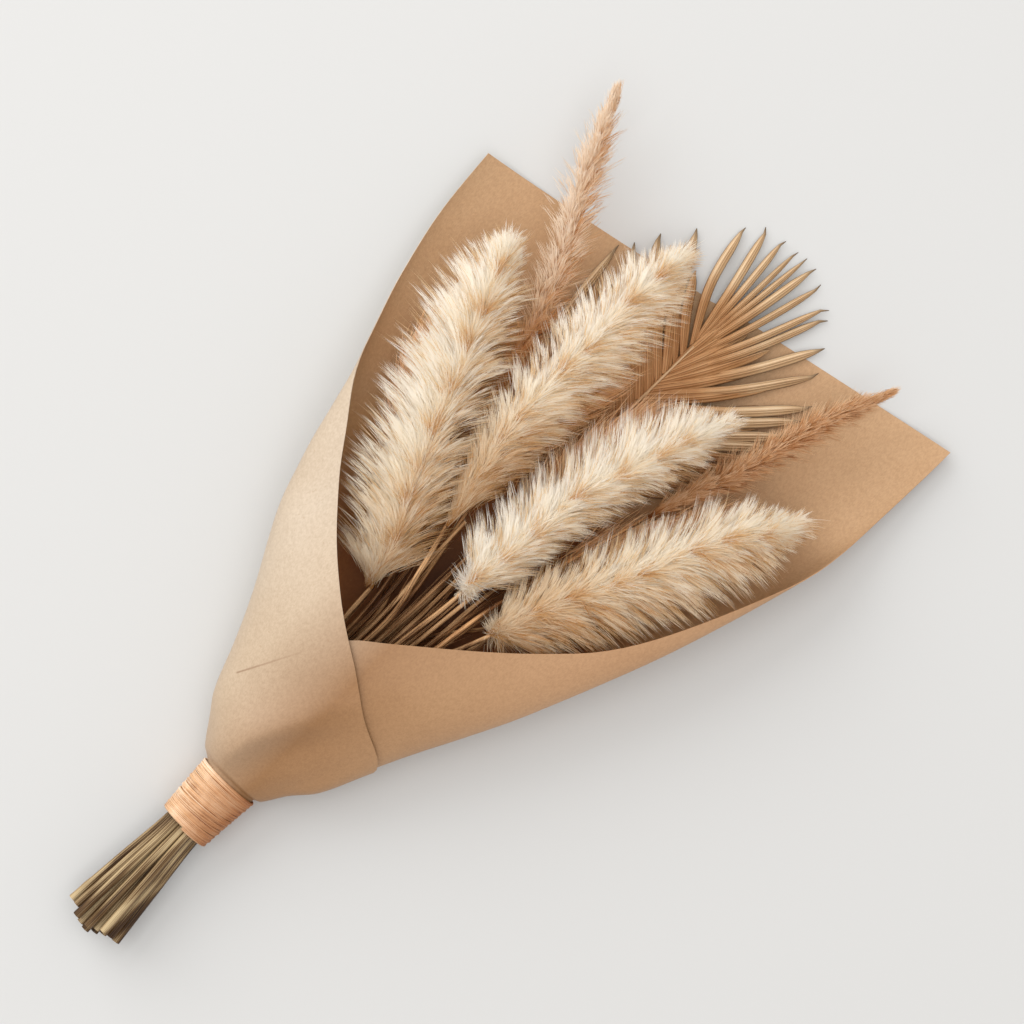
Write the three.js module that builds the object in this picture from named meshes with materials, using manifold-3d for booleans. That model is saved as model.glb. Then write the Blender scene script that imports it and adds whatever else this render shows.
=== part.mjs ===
// A bundle of dried pampas grass: four cream plumes, two slender blush plumes, five brown grass
// sprays, a pleated palm leaf and some bare stalks, laid in one folded sheet of kraft paper that
// a raffia binding holds round the stems.
// Millimetres. +Y runs from the cut ends to the plumes and +Z is up. The origin lies on the
// surface that the bundle rests on, under the middle of its length.

import * as THREE from "three";
import { mergeVertices } from "three/addons/utils/BufferGeometryUtils.js";
import Module from "manifold-3d";

const wasm = await Module();
wasm.setup();

// Bundle of stems
const BUNDLE_X = -5;
const BUNDLE_HEIGHT = 17.3;
const STEM_RADIUS = 2.2;
const STEM_SPACING = 4.1;
const STEM_SIDES = 6;
const CUT_END_Y = -300;
const CUT_END_SPREAD = 7;
const FAN_Y = -77;
const MATING_GAP = 0.45;

// Raffia binding
const BINDING_LOWER_Y = -228.5;
const BINDING_UPPER_Y = -195;
const BINDING_LOWER_RADIUS = 14.6;
const BINDING_UPPER_RADIUS = 17;
const BINDING_TURNS = 13;
const BINDING_CORD_RELIEF = 0.55;
const BINDING_SLANT = 0.7;
const BINDING_SIDES = 22;

// Kraft paper
const PAPER_THICKNESS = 0.7;
const PAPER_COLUMNS = 28;
const LAYER_GAP = 0.4;
const LAYER_GAP_GROWTH = 0.03;

// Palm leaf
const PALM_BASE = [5, -1.7, 5.5];
const PALM_TIP = [5.7, 124, 6];
const PALM_LEAFLETS_A_SIDE = 12;
const LEAFLET_THICKNESS = 0.8;
const LEAFLET_FOLD = 2.3;
const LEAFLET_WIDTH = 8.6;
const LEAFLET_ARCH = 1.6;
const LEAFLET_DROP = 1.2;
const LEAFLET_OUTLINE = [[0, 0.62], [0.12, 0.95], [0.45, 1], [0.78, 0.62], [1, 0.16]];
const LOWEST_LEAFLET = 6;
const HIGHEST_LEAFLET = 120;

const UP = new THREE.Vector3(0, 0, 1);

// The value at a place between keys [place, value], joined by a smooth curve through them.
function keyed(keys, at) {
  const last = keys.length - 1;
  if (at <= keys[0][0]) return keys[0][1];
  if (at >= keys[last][0]) return keys[last][1];
  const i = keys.findIndex(([place]) => place > at) - 1;
  const slope = (a, b) => (keys[b][1] - keys[a][1]) / (keys[b][0] - keys[a][0]);
  const tangent = (j) => slope(Math.max(j - 1, 0), Math.min(j + 1, last));
  const [start, low] = keys[i];
  const [end, high] = keys[i + 1];
  const span = end - start;
  const t = (at - start) / span;
  const blend = t * t * (3 - 2 * t);
  const rise = t * (1 - t) * ((1 - t) * tangent(i) - t * tangent(i + 1)) * span;
  return low + (high - low) * blend + rise;
}

// A repeatable row of draws between -1 and 1.
function seededDraw(seed) {
  let state = seed;
  return () => {
    state = (state * 16807) % 2147483647;
    return (state / 2147483647) * 2 - 1;
  };
}

function vector([x, y, z]) {
  return new THREE.Vector3(x, y, z);
}

function smoothStep(from, to, at) {
  return THREE.MathUtils.smoothstep(at, from, to);
}

function geometryOf(points, index) {
  const geometry = new THREE.BufferGeometry().setFromPoints(points);
  geometry.setIndex(index);
  return geometry;
}

// The triangles over the flat end of a solid, turned to face along the given direction.
function capTriangles(ring, facing) {
  const across = ring[1].clone().sub(ring[0]).projectOnPlane(facing).normalize();
  const upright = new THREE.Vector3().crossVectors(facing, across);
  const flat = ring.map((point) => new THREE.Vector2(point.dot(across), point.dot(upright)));
  return THREE.ShapeUtils.triangulateShape(flat, []).map(([a, b, c]) => {
    const turn = flat[b].clone().sub(flat[a]).cross(flat[c].clone().sub(flat[a]));
    return turn > 0 ? [a, b, c] : [a, c, b];
  });
}

// A closed solid through rings with as many points each. In a tufted one, every second point
// is the tip of a tuft, and each square is split so that the tufts stand apart.
function loft(rings, tufted = false) {
  const count = rings[0].length;
  const last = rings.length - 1;
  const index = [];
  for (let j = 0; j < last; j++) {
    for (let i = 0; i < count; i++) {
      const a = j * count + i;
      const b = j * count + ((i + 1) % count);
      const c = a + count;
      const d = b + count;
      if (tufted && (i + j) % 2 === 0) index.push(a, b, c, b, d, c);
      else index.push(a, b, d, a, d, c);
    }
  }
  const middle = (ring) => ring.reduce((sum, p) => sum.add(p), new THREE.Vector3()).divideScalar(count);
  const forward = middle(rings[last]).sub(middle(rings[last - 1])).normalize();
  const backward = middle(rings[0]).sub(middle(rings[1])).normalize();
  capTriangles(rings[0], backward).forEach((triangle) => index.push(...triangle));
  capTriangles(rings[last], forward).forEach((triangle) => {
    index.push(...triangle.map((corner) => corner + last * count));
  });
  return geometryOf(rings.flat(), index);
}

// The directions across a path that runs along the given tangent.
function crossDirections(along) {
  const side = new THREE.Vector3().crossVectors(along, UP).normalize();
  return { side, up: new THREE.Vector3().crossVectors(side, along) };
}

function circle(centre, along, radius, sides) {
  const { side, up } = crossDirections(along);
  return Array.from({ length: sides }, (_, i) => {
    const angle = (i / sides) * 2 * Math.PI;
    const point = centre.clone().addScaledVector(up, Math.cos(angle) * radius);
    return point.addScaledVector(side, Math.sin(angle) * radius);
  });
}

function tangentAt(points, i) {
  const before = points[Math.max(i - 1, 0)];
  const after = points[Math.min(i + 1, points.length - 1)];
  return after.clone().sub(before).normalize();
}

// The rings of a round stalk through a list of points, slimmer towards its end.
function stalkRings(points, startRadius, endRadius, sides) {
  return points.map((point, i) => {
    const radius = THREE.MathUtils.lerp(startRadius, endRadius, i / (points.length - 1));
    return circle(point, tangentAt(points, i), radius, sides);
  });
}

// Where the stems run: packed side by side in the binding, splayed below it and fanned out
// above it. The keys pair a place along Y with a spread, a lean or a shift of the packing there.
const SPREAD_ACROSS = [[-300, 1.93], [-262, 1.45], [-228.5, 1.05], [-195, 1.35], [FAN_Y, 3.3]];
const SPREAD_UPRIGHT = [[-300, 1.25], [-262, 1.15], [-228.5, 1.05], [-195, 1.3], [FAN_Y, 1.6]];
const FAN_LEAN = [[-195, 0], [FAN_Y, 0.5]];
const FAN_SHIFT = [[-300, 1.5], [-228.5, 0], [-195, 0], [FAN_Y, 9]];
const FAN_RISE = [[-300, -1.3], [-228.5, 0], [-195, 0], [FAN_Y, 8.7]];
const STEM_PLACES = [-262, -228.5, -211, -195, -165, -122, FAN_Y];

// A slot is a stem's place in the packing, as a column and a row from its middle.
function slotPoint([column, row], y) {
  const across = column * STEM_SPACING;
  const upright = row * STEM_SPACING * Math.sin(Math.PI / 3);
  const x = BUNDLE_X + keyed(FAN_SHIFT, y) + across * keyed(SPREAD_ACROSS, y) + upright * keyed(FAN_LEAN, y);
  const z = BUNDLE_HEIGHT + keyed(FAN_RISE, y) + upright * keyed(SPREAD_UPRIGHT, y);
  return new THREE.Vector3(x, y, z);
}

// A stem's points from its cut end through the binding and the fan, and on through its own.
function stemPoints(slot, beyond) {
  const trim = Math.abs(Math.sin(slot[0] * 5.3 + slot[1] * 2.9)) * CUT_END_SPREAD;
  const places = [CUT_END_Y + trim, ...STEM_PLACES];
  return [...places.map((y) => slotPoint(slot, y)), ...beyond.map(vector)];
}

// Raises tufts that lean forward from a slimmer core. The lean grows evenly with the distance
// from the axis, so that no two tufts cross.
function tuftedRings({ axis, halfWidth, halfHeight, outline, columns, rows, lean, core, seed }) {
  const curve = new THREE.CatmullRomCurve3(axis.map(vector), false, "centripetal");
  const length = curve.getLength();
  const draw = seededDraw(seed);
  const rings = [];
  for (let j = 0; j <= rows; j++) {
    const place = j / rows;
    const size = keyed(outline, place);
    const ring = [];
    for (let i = 0; i < columns; i++) {
      const isTip = (i + j) % 2 === 0 && j > 0 && j < rows;
      const reach = (isTip ? 1 + TUFT_VARIATION * draw() : core) * size;
      const angle = (i / columns) * 2 * Math.PI;
      const out = reach * Math.hypot(halfWidth * Math.sin(angle), halfHeight * Math.cos(angle));
      const shift = j > 0 && j < rows ? (lean * out) / length : 0;
      const at = Math.min(place + shift, 1 + shift / 4);
      const onCurve = Math.min(at, 1);
      const along = curve.getTangentAt(onCurve);
      const { side, up } = crossDirections(along);
      const point = curve.getPointAt(onCurve).addScaledVector(along, (at - onCurve) * length);
      point.addScaledVector(side, Math.sin(angle) * reach * halfWidth);
      point.addScaledVector(up, Math.cos(angle) * reach * halfHeight);
      ring.push(point);
    }
    rings.push(ring);
  }
  return rings;
}

// Cream pampas heads: broad, dense and silky. A head's outline pairs a share of its length with
// a share of its half width and height.
const CREAM_COLUMNS = 16;
const CREAM_ROWS = 28;
const CREAM_NECK_RADIUS = 1.6;
const TUFT_LEAN = 0.95;
const CORE_SHARE = 0.4;
const TUFT_VARIATION = 0.12;
const FULL_OUTLINE = [
  [0, 0.1], [0.03, 0.4], [0.1, 0.76], [0.25, 0.98], [0.45, 1], [0.62, 0.94], [0.78, 0.74], [0.9, 0.46],
  [1, 0.1],
];
const SLENDER_OUTLINE = [
  [0, 0.1], [0.05, 0.24], [0.14, 0.5], [0.28, 0.84], [0.45, 1], [0.62, 0.96], [0.78, 0.74], [0.9, 0.46],
  [1, 0.1],
];
const CREAM_HEADS = [
  {
    name: "cream_plume_a", slot: [-2, 0], beyond: [], seed: 11, halfWidth: 26, halfHeight: 16.5,
    outline: FULL_OUTLINE,
    axis: [[-38, -48, 34], [-56, -13, 38], [-70, 20, 38], [-81, 48, 36], [-91, 91, 32]],
  },
  {
    name: "cream_plume_b", slot: [-1, 2], seed: 23, halfWidth: 21, halfHeight: 16, outline: SLENDER_OUTLINE,
    beyond: [[-12, -52, 37.4], [-18, -28, 37.2]],
    axis: [[-24, 6, 38.5], [-28, 48, 38.5], [-28, 100, 36], [-25, 149, 33]],
  },
  {
    name: "cream_plume_c", slot: [0, 2], seed: 37, halfWidth: 19, halfHeight: 16, outline: FULL_OUTLINE,
    beyond: [[9.5, -61, 37.4], [11, -46, 37.2]],
    axis: [[13, -16, 38.5], [17, 20, 38.5], [28, 63, 38], [46, 109, 34]],
  },
  {
    name: "cream_plume_d", slot: [1.5, 1], seed: 41, halfWidth: 25, halfHeight: 16.5, outline: FULL_OUTLINE,
    beyond: [[31, -64, 32], [36, -51, 33]],
    axis: [[50, -18, 37.5], [68, 22, 38], [85, 60, 36], [103, 92, 32]],
  },
];

// Blush heads: slender and feathery.
const BLUSH_COLUMNS = 10;
const BLUSH_ROWS = 26;
const BLUSH_NECK_RADIUS = 1.3;
const BLUSH_OUTLINE = [
  [0, 0.14], [0.08, 0.4], [0.2, 0.78], [0.4, 1], [0.6, 0.92], [0.8, 0.62], [0.93, 0.35], [1, 0.1],
];
const BLUSH_HEADS = [
  {
    name: "blush_plume_e", slot: [-1.5, -1], seed: 53, halfWidth: 11, halfHeight: 7.5, outline: BLUSH_OUTLINE,
    beyond: [[-28, -35, 16], [-37, 7, 14.2], [-41, 22, 14.6]],
    axis: [[-54, 60, 18.5], [-63, 87, 22.5], [-74, 111, 25.5], [-89, 139, 28.5], [-112, 185, 34]],
  },
  {
    name: "blush_plume_f", slot: [1, 2], seed: 67, halfWidth: 8.5, halfHeight: 6.5, outline: BLUSH_OUTLINE,
    beyond: [
      [25, -50, 34.5], [29, -30, 30.5], [34, -10, 26], [39.5, 9, 23.5], [46, 32, 21.5], [50, 46, 21.2],
    ],
    axis: [[57, 68, 21.8], [66, 96, 23.8], [78, 140, 28], [91, 174, 32]],
  },
];

// Brown grasses: each a thin stalk that opens into a flat loose spray.
const BROWN_HALF_WIDTH = 9.5;
const BROWN_HALF_HEIGHT = 4;
const BROWN_SIDES = 8;
const BROWN_ROWS = 14;
const BROWN_LEAN = 1.4;
const BROWN_CORE_SHARE = 0.35;
const BROWN_STALK_RADIUS = 2.1;
const BROWN_OUTLINE = [[0, 0.14], [0.12, 0.35], [0.3, 0.85], [0.5, 1], [0.75, 0.75], [0.92, 0.35], [1, 0.1]];
const BROWN_GRASSES = [
  {
    name: "brown_grass_left", slot: [-1, -2], seed: 71,
    beyond: [[-26, -56, 11.8], [-42, -38, 10.8]],
    axis: [[-62, -16, 11.5], [-84, 15, 14.5], [-99, 55, 20]],
  },
  {
    name: "brown_grass_left_middle", slot: [-0.5, -1], seed: 73,
    beyond: [[-10, -45, 17], [-16, -16, 14.8]],
    axis: [[-20, 22, 15.6], [-15, 60, 16.2], [-6, 98, 18]],
  },
  {
    name: "brown_grass_middle", slot: [0.5, -1], seed: 79,
    beyond: [[6, -45, 16.6], [4.5, -16, 14.8]],
    axis: [[5.5, 22, 15.4], [9, 62, 16], [20, 104, 18]],
  },
  {
    name: "brown_grass_right_middle", slot: [1.5, -1], seed: 83,
    beyond: [[28, -45, 17], [35, -16, 14.6]],
    axis: [[47, 18, 14.4], [66, 54, 15], [83, 90, 18.5]],
  },
  {
    name: "brown_grass_right", slot: [1, -2], seed: 89,
    beyond: [[30, -54, 11.2], [46, -34, 10.6]],
    axis: [[60, -12, 11.2], [79, 18, 13.4], [95, 54, 19]],
  },
];

// Bare stalks that fill out the bundle and end beneath the heads.
const BARE_TIP_RADIUS = 1.4;
const BARE_STALKS = [
  { slot: [-1.5, 1], beyond: [[-17.5, -45, 26], [-20, -15, 22.5]] },
  { slot: [-1, 0], beyond: [[-12, -45, 22], [-13, -20, 19.2]] },
  { slot: [-0.5, 1], beyond: [[0, -45, 27], [1, -12, 22.5]] },
  { slot: [0, 0], beyond: [[4.5, -45, 22.5], [5, -20, 20]] },
  { slot: [0.5, 1], beyond: [[15.5, -48, 27.5], [19, -12, 21.5]] },
  { slot: [1, 0], beyond: [[20, -45, 22], [24, -15, 19.2]] },
  { slot: [2, 0], beyond: [[38, -45, 22.5], [44, -15, 18.6]] },
];

const PALM_STALK = { slot: [0, -2], beyond: [[2, -45, 10], [4, -15, 6.6], [5, -2, 5.5]] };

function bareStalk(name, { slot, beyond }, tipRadius) {
  const rings = stalkRings(stemPoints(slot, beyond), STEM_RADIUS, tipRadius, STEM_SIDES);
  return part(name, loft(rings), "#a99865", 0.65);
}

function headNodes(heads, colour, columns, rows, stemEndRadius) {
  return heads.flatMap(({ name, slot, beyond, axis, ...shape }) => {
    const points = stemPoints(slot, beyond);
    const end = points[points.length - 1];
    const start = end.clone().addScaledVector(tangentAt(points, points.length - 1), MATING_GAP);
    const rings = tuftedRings({
      ...shape, columns, rows, lean: TUFT_LEAN, core: CORE_SHARE, axis: [start.toArray(), ...axis],
    });
    const stem = stalkRings(points, STEM_RADIUS, stemEndRadius, STEM_SIDES);
    return [part(`stem_of_${name}`, loft(stem), "#b9a978", 0.6), part(name, loft(rings, true), colour, 0.95)];
  });
}

function brownGrass({ name, slot, beyond, axis, seed }) {
  const points = stemPoints(slot, beyond);
  const end = points[points.length - 1].toArray();
  const spray = tuftedRings({
    axis: [end, ...axis], halfWidth: BROWN_HALF_WIDTH, halfHeight: BROWN_HALF_HEIGHT,
    outline: BROWN_OUTLINE, columns: BROWN_SIDES, rows: BROWN_ROWS, lean: BROWN_LEAN, core: BROWN_CORE_SHARE,
    seed,
  });
  const rings = stalkRings(points, BROWN_STALK_RADIUS, BROWN_STALK_RADIUS - 0.8, BROWN_SIDES);
  return part(name, loft([...rings.slice(0, -1), ...spray.slice(1)], true), "#8a5f3c", 0.9);
}

// One leaflet, folded along its rib like a low roof.
function leaflet(base, angle, length, side) {
  const heading = new THREE.Vector3(Math.sin(angle) * side, Math.cos(angle), 0);
  const across = new THREE.Vector3(heading.y, -heading.x, 0);
  const rings = LEAFLET_OUTLINE.map(([place, share]) => {
    const half = (LEAFLET_WIDTH / 2) * share;
    const fold = LEAFLET_FOLD * share;
    const centre = base.clone().addScaledVector(heading, place * length);
    centre.z += LEAFLET_ARCH * Math.sin(place * Math.PI) - LEAFLET_DROP;
    const edge = LEAFLET_THICKNESS / 2;
    const section = [
      [0, fold + edge], [half, edge], [half, -edge], [0, fold - edge], [-half, -edge], [-half, edge],
    ];
    return section.map(([sideways, height]) => {
      return centre.clone().addScaledVector(across, sideways).addScaledVector(UP, height);
    });
  });
  return loft(rings);
}

function solidOf(geometry) {
  const bare = new THREE.BufferGeometry();
  bare.setAttribute("position", geometry.getAttribute("position"));
  bare.setIndex(geometry.getIndex());
  const merged = mergeVertices(bare, 1e-4);
  const triVerts = new Uint32Array(merged.getIndex().array);
  const vertProperties = new Float32Array(merged.getAttribute("position").array);
  return new wasm.Manifold(new wasm.Mesh({ numProp: 3, vertProperties, triVerts }));
}

function fused(geometries) {
  const whole = geometries.map(solidOf).reduce((sum, solid) => sum.add(solid));
  const mesh = whole.getMesh();
  const geometry = new THREE.BufferGeometry();
  geometry.setAttribute("position", new THREE.BufferAttribute(mesh.vertProperties, 3));
  geometry.setIndex(new THREE.BufferAttribute(mesh.triVerts, 1));
  return geometry;
}

// The angle from the rib and the length of a leaflet, by its place up the rib.
const LEAFLET_ANGLES = [[0, 57], [60, 53], [85, 47], [105, 33], [115, 19], [121, 6]];
const LEAFLET_LENGTHS = [[0, 55], [50, 98], [85, 94], [105, 86], [121, 76]];

function palmLeaf() {
  const base = vector(PALM_BASE);
  const tip = vector(PALM_TIP);
  const places = [0, 0.3, 0.65, 1].map((share) => base.clone().lerp(tip, share));
  const pieces = [loft(stalkRings(places, 2.1, 1, STEM_SIDES))];
  for (let k = 0; k < PALM_LEAFLETS_A_SIDE; k++) {
    const share = k / (PALM_LEAFLETS_A_SIDE - 1);
    const along = THREE.MathUtils.lerp(LOWEST_LEAFLET, HIGHEST_LEAFLET, share);
    const root = base.clone().lerp(tip, along / base.distanceTo(tip));
    for (const side of [-1, 1]) {
      const angle = THREE.MathUtils.degToRad(keyed(LEAFLET_ANGLES, along));
      const length = keyed(LEAFLET_LENGTHS, along) * (side < 0 ? 0.92 : 1);
      pieces.push(leaflet(root, angle, length, side));
    }
  }
  return part("palm_leaf", fused(pieces), "#a27c4f", 0.8);
}

// The paper's outer face is a flattened tube of superellipses. Its turn is 0 at the middle of
// the underside and grows over the left side, so the left flap ends at a turn of its own and the
// right flap at a negative one. Turns are counted in half circles.
const LEFT_HALF_WIDTH = [
  [-222, 11.9], [-208, 13.1], [-196, 14.2], [-194, 14.6], [-190, 20], [-180, 28], [-168, 36],
  [-144, 45.3], [-120, 55.8], [-96, 68.3], [-72, 81.5], [-48, 90], [-24, 96], [0, 102.5],
  [44, 120.3], [81, 132.5], [120, 140.6],
];
const RIGHT_HALF_WIDTH = [
  [-222, 11.9], [-208, 13.1], [-196, 14.2], [-194, 14.6], [-190, 18.5], [-180, 25], [-168, 34.5],
  [-144, 45], [-120, 56], [-96, 68], [-72, 79.5], [-48, 89.5], [-24, 99], [0, 108], [24, 116],
  [57, 126], [88, 134.4], [127, 141.6], [178, 150],
];
const LEFT_FLAP_TURN = [
  [-222, 1.6], [-145, 1.52], [-136, 1.37], [-127, 1.19], [-119, 1.1], [-101, 0.97], [-90, 0.905],
  [-71, 0.82], [-49, 0.74], [-23, 0.65], [8, 0.5], [44, 0.43], [81, 0.39], [120, 0.36],
];
const RIGHT_FLAP_TURN = [
  [-222, 1.55], [-164, 1.45], [-153, 1.3], [-142, 1.2], [-130, 1.14], [-101, 1.03], [-86, 0.957],
  [-70, 0.884], [-53, 0.813], [-36, 0.75], [-18, 0.69], [4, 0.644], [57, 0.565], [88, 0.5],
  [127, 0.42], [178, 0.36],
];
const WIDEST_HEIGHT = [
  [-222, 17.3], [-195, 17.3], [-170, 20], [-140, 24], [-101, 30], [-50, 36], [0, 40], [44, 38],
  [80, 33], [120, 26], [178, 20],
];
const DEPTH_BELOW = [
  [-222, 11.9], [-208, 13.1], [-196, 14.2], [-185, 18.5], [-170, 22], [-140, 26], [-101, 32],
  [-50, 38], [0, 42], [44, 40], [80, 35], [120, 28], [178, 22],
];
const HEIGHT_ABOVE = [
  [-222, 11.9], [-208, 13.1], [-196, 14.2], [-194, 14.6], [-190, 18.5], [-170, 25], [-140, 29],
  [-101, 31], [-50, 26], [0, 22],
];
const UNDERSIDE_SQUARENESS = [[-195, 2], [-150, 3]];
const TOP_SQUARENESS = [[-195, 2], [-150, 2.1]];
const TOP_CORNERS = { left: [-136.5, 119.5], right: [135.4, 177.8] };
const PAPER_PLACES = [
  -222, -209, -195, -190, -182, -171, -158, -145, -132, -119, -106, -93, -78, -60, -38, -12, 18, 52, 88,
  121, 150,
];

// How far the left flap lies outside the right flap where it covers it. The cone is closed below
// its crossing point, and the left flap rises off the underside over a part of a turn.
function layerLift(y, turn, halfWidth) {
  const closed = 1 - smoothStep(-98, -58, y);
  const gap = LAYER_GAP + LAYER_GAP_GROWTH * Math.max(0, halfWidth - 12);
  return (PAPER_THICKNESS + gap) * closed * smoothStep(0.1, 0.5, turn);
}

function paperOuterPoint(y, turn) {
  const angle = turn * Math.PI;
  const sideways = Math.sin(angle);
  const upright = -Math.cos(angle);
  const halfWidth = keyed(sideways > 0 ? LEFT_HALF_WIDTH : RIGHT_HALF_WIDTH, y);
  const lift = layerLift(y, turn, halfWidth);
  const power = 2 / keyed(upright < 0 ? UNDERSIDE_SQUARENESS : TOP_SQUARENESS, y);
  const reach = upright < 0 ? keyed(DEPTH_BELOW, y) : keyed(HEIGHT_ABOVE, y);
  const x = BUNDLE_X - Math.sign(sideways) * (halfWidth + lift) * Math.abs(sideways) ** power;
  const z = keyed(WIDEST_HEIGHT, y) + Math.sign(upright) * (reach + lift) * Math.abs(upright) ** power;
  return new THREE.Vector3(x, y, Math.max(z, 0));
}

// The inward direction of the paper, from its slopes round and along the bundle.
function paperInward(y, turn) {
  const turnStep = 0.004;
  const round = paperOuterPoint(y, turn + turnStep).sub(paperOuterPoint(y, turn - turnStep));
  const along = paperOuterPoint(y + 1, turn).sub(paperOuterPoint(y - 1, turn));
  return along.cross(round).normalize();
}

// The top edge is one straight cut from corner to corner, so the rows near it lean with it.
function topEdgeOffset(place, x) {
  const top = PAPER_PLACES[PAPER_PLACES.length - 1];
  const { left, right } = TOP_CORNERS;
  const edge = THREE.MathUtils.mapLinear(x, left[0], right[0], left[1], right[1]);
  return (edge - top) * smoothStep(-100, top, place);
}

function paperWrap() {
  const outer = [];
  const inner = [];
  for (const place of PAPER_PLACES) {
    for (let j = 0; j <= PAPER_COLUMNS; j++) {
      const turnAt = (y) => {
        return THREE.MathUtils.lerp(-keyed(RIGHT_FLAP_TURN, y), keyed(LEFT_FLAP_TURN, y), j / PAPER_COLUMNS);
      };
      const y = place + topEdgeOffset(place, paperOuterPoint(place, turnAt(place)).x);
      const turn = turnAt(y);
      const point = paperOuterPoint(y, turn);
      outer.push(point);
      inner.push(point.clone().addScaledVector(paperInward(y, turn), PAPER_THICKNESS));
    }
  }
  return part("paper_wrap", slab(outer, inner, PAPER_PLACES.length, PAPER_COLUMNS + 1), "#c69c6d", 0.85);
}

// A closed sheet between two grids of points.
function slab(outer, inner, rows, columns) {
  const index = [];
  const under = outer.length;
  const rim = (from, to) => index.push(from, to, to + under, from, to + under, from + under);
  for (let i = 0; i + 1 < rows; i++) {
    for (let j = 0; j + 1 < columns; j++) {
      const a = i * columns + j;
      const b = a + 1;
      const c = a + columns;
      const d = c + 1;
      index.push(a, b, d, a, d, c);
      index.push(a + under, d + under, b + under, a + under, c + under, d + under);
      if (i === 0) rim(b, a);
      if (i === rows - 2) rim(c, d);
      if (j === 0) rim(a, c);
      if (j === columns - 2) rim(d, b);
    }
  }
  return geometryOf([...outer, ...inner], index);
}

// The binding is a closed band round the bundle, with a ridge for each turn of the raffia.
function raffiaBinding() {
  const clear = PAPER_THICKNESS + LAYER_GAP + MATING_GAP;
  const rings = [];
  const steps = BINDING_TURNS * 2;
  for (let j = 0; j <= steps; j++) {
    const share = j / steps;
    const ridge = j % 2 === 0 ? -BINDING_CORD_RELIEF : 0;
    const radius = THREE.MathUtils.lerp(BINDING_LOWER_RADIUS, BINDING_UPPER_RADIUS, share) + ridge;
    rings.push({ share, radius });
  }
  for (const share of [1, 0.5, 0]) {
    const y = THREE.MathUtils.lerp(BINDING_LOWER_Y, BINDING_UPPER_Y, share);
    rings.push({ share, radius: keyed(LEFT_HALF_WIDTH, y) + clear });
  }
  return part("raffia_tie", band(rings), "#d9a06b", 0.75);
}

function band(rings) {
  const points = [];
  const index = [];
  rings.forEach(({ share, radius }, j) => {
    for (let i = 0; i < BINDING_SIDES; i++) {
      const angle = (i / BINDING_SIDES) * 2 * Math.PI;
      const slant = BINDING_SLANT * Math.sin(angle) * Math.sin(share * Math.PI);
      const a = j * BINDING_SIDES + i;
      const b = j * BINDING_SIDES + ((i + 1) % BINDING_SIDES);
      const next = ((j + 1) % rings.length) * BINDING_SIDES;
      const c = next + i;
      const d = next + ((i + 1) % BINDING_SIDES);
      points.push(new THREE.Vector3(
        BUNDLE_X + Math.sin(angle) * radius,
        THREE.MathUtils.lerp(BINDING_LOWER_Y, BINDING_UPPER_Y, share) + slant,
        BUNDLE_HEIGHT + Math.cos(angle) * radius,
      ));
      index.push(a, b, d, a, d, c);
    }
  });
  return geometryOf(points, index);
}

function part(name, geometry, colour, roughness) {
  const flat = geometry.toNonIndexed();
  flat.computeVertexNormals();
  const material = new THREE.MeshStandardMaterial({ color: colour, roughness, metalness: 0 });
  const mesh = new THREE.Mesh(flat, material);
  mesh.name = name;
  return mesh;
}

const bundle = new THREE.Group();
bundle.name = "pampas_bundle";
bundle.add(paperWrap());
bundle.add(raffiaBinding());
bundle.add(palmLeaf());
bundle.add(...headNodes(CREAM_HEADS, "#efe4cf", CREAM_COLUMNS, CREAM_ROWS, CREAM_NECK_RADIUS));
bundle.add(...headNodes(BLUSH_HEADS, "#d2a27a", BLUSH_COLUMNS, BLUSH_ROWS, BLUSH_NECK_RADIUS));
bundle.add(...BROWN_GRASSES.map(brownGrass));
bundle.add(bareStalk("stem_of_palm_leaf", PALM_STALK, STEM_RADIUS));
BARE_STALKS.forEach((route, k) => bundle.add(bareStalk(`bare_stalk_${k + 1}`, route, BARE_TIP_RADIUS)));

export default bundle;
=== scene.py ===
"""Dresses the bundle of pampas grass for its picture.

Four cream plumes, two blush plumes, brown grasses and a pleated palm leaf lie in one folded sheet of
kraft paper, which a raffia binding holds round their stems. +Y runs from the cut ends to the plumes,
and +Z is up. Sizes are in millimetres and the meshes in metres, as are the finishes and the studio.
"""

import logging
import math
from collections.abc import Callable
from dataclasses import dataclass, field, replace
from enum import Enum
from typing import NamedTuple

import bpy
import numpy as np
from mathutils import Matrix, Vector

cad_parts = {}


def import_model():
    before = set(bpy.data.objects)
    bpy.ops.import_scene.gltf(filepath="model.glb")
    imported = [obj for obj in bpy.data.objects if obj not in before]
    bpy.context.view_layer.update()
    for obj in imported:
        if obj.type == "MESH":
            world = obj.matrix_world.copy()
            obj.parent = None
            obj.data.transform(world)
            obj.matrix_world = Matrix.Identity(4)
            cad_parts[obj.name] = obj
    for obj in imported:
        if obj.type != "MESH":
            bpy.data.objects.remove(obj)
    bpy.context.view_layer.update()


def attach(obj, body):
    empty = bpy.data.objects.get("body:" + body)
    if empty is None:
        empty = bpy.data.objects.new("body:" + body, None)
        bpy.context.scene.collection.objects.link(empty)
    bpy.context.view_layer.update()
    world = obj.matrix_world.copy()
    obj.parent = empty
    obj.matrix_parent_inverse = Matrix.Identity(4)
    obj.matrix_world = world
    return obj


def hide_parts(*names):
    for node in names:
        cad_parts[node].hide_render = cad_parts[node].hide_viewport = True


LOG = logging.getLogger("pampas")
MM = 0.001
BODY = "root"
HAIR_MAP = "OFBake"
UP = np.array([0.0, 0.0, 1.0])
WHITE = "#ffffff"
BLACK = "#000000"

Array = np.ndarray
Draw = np.random.Generator
Piece = bpy.types.Object
Socket = bpy.types.NodeSocket
Pair = tuple[float, float]
Place = tuple[float, float, float]
Keys = tuple[Pair, ...]
Stops = tuple[tuple[float, str], ...]


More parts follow.
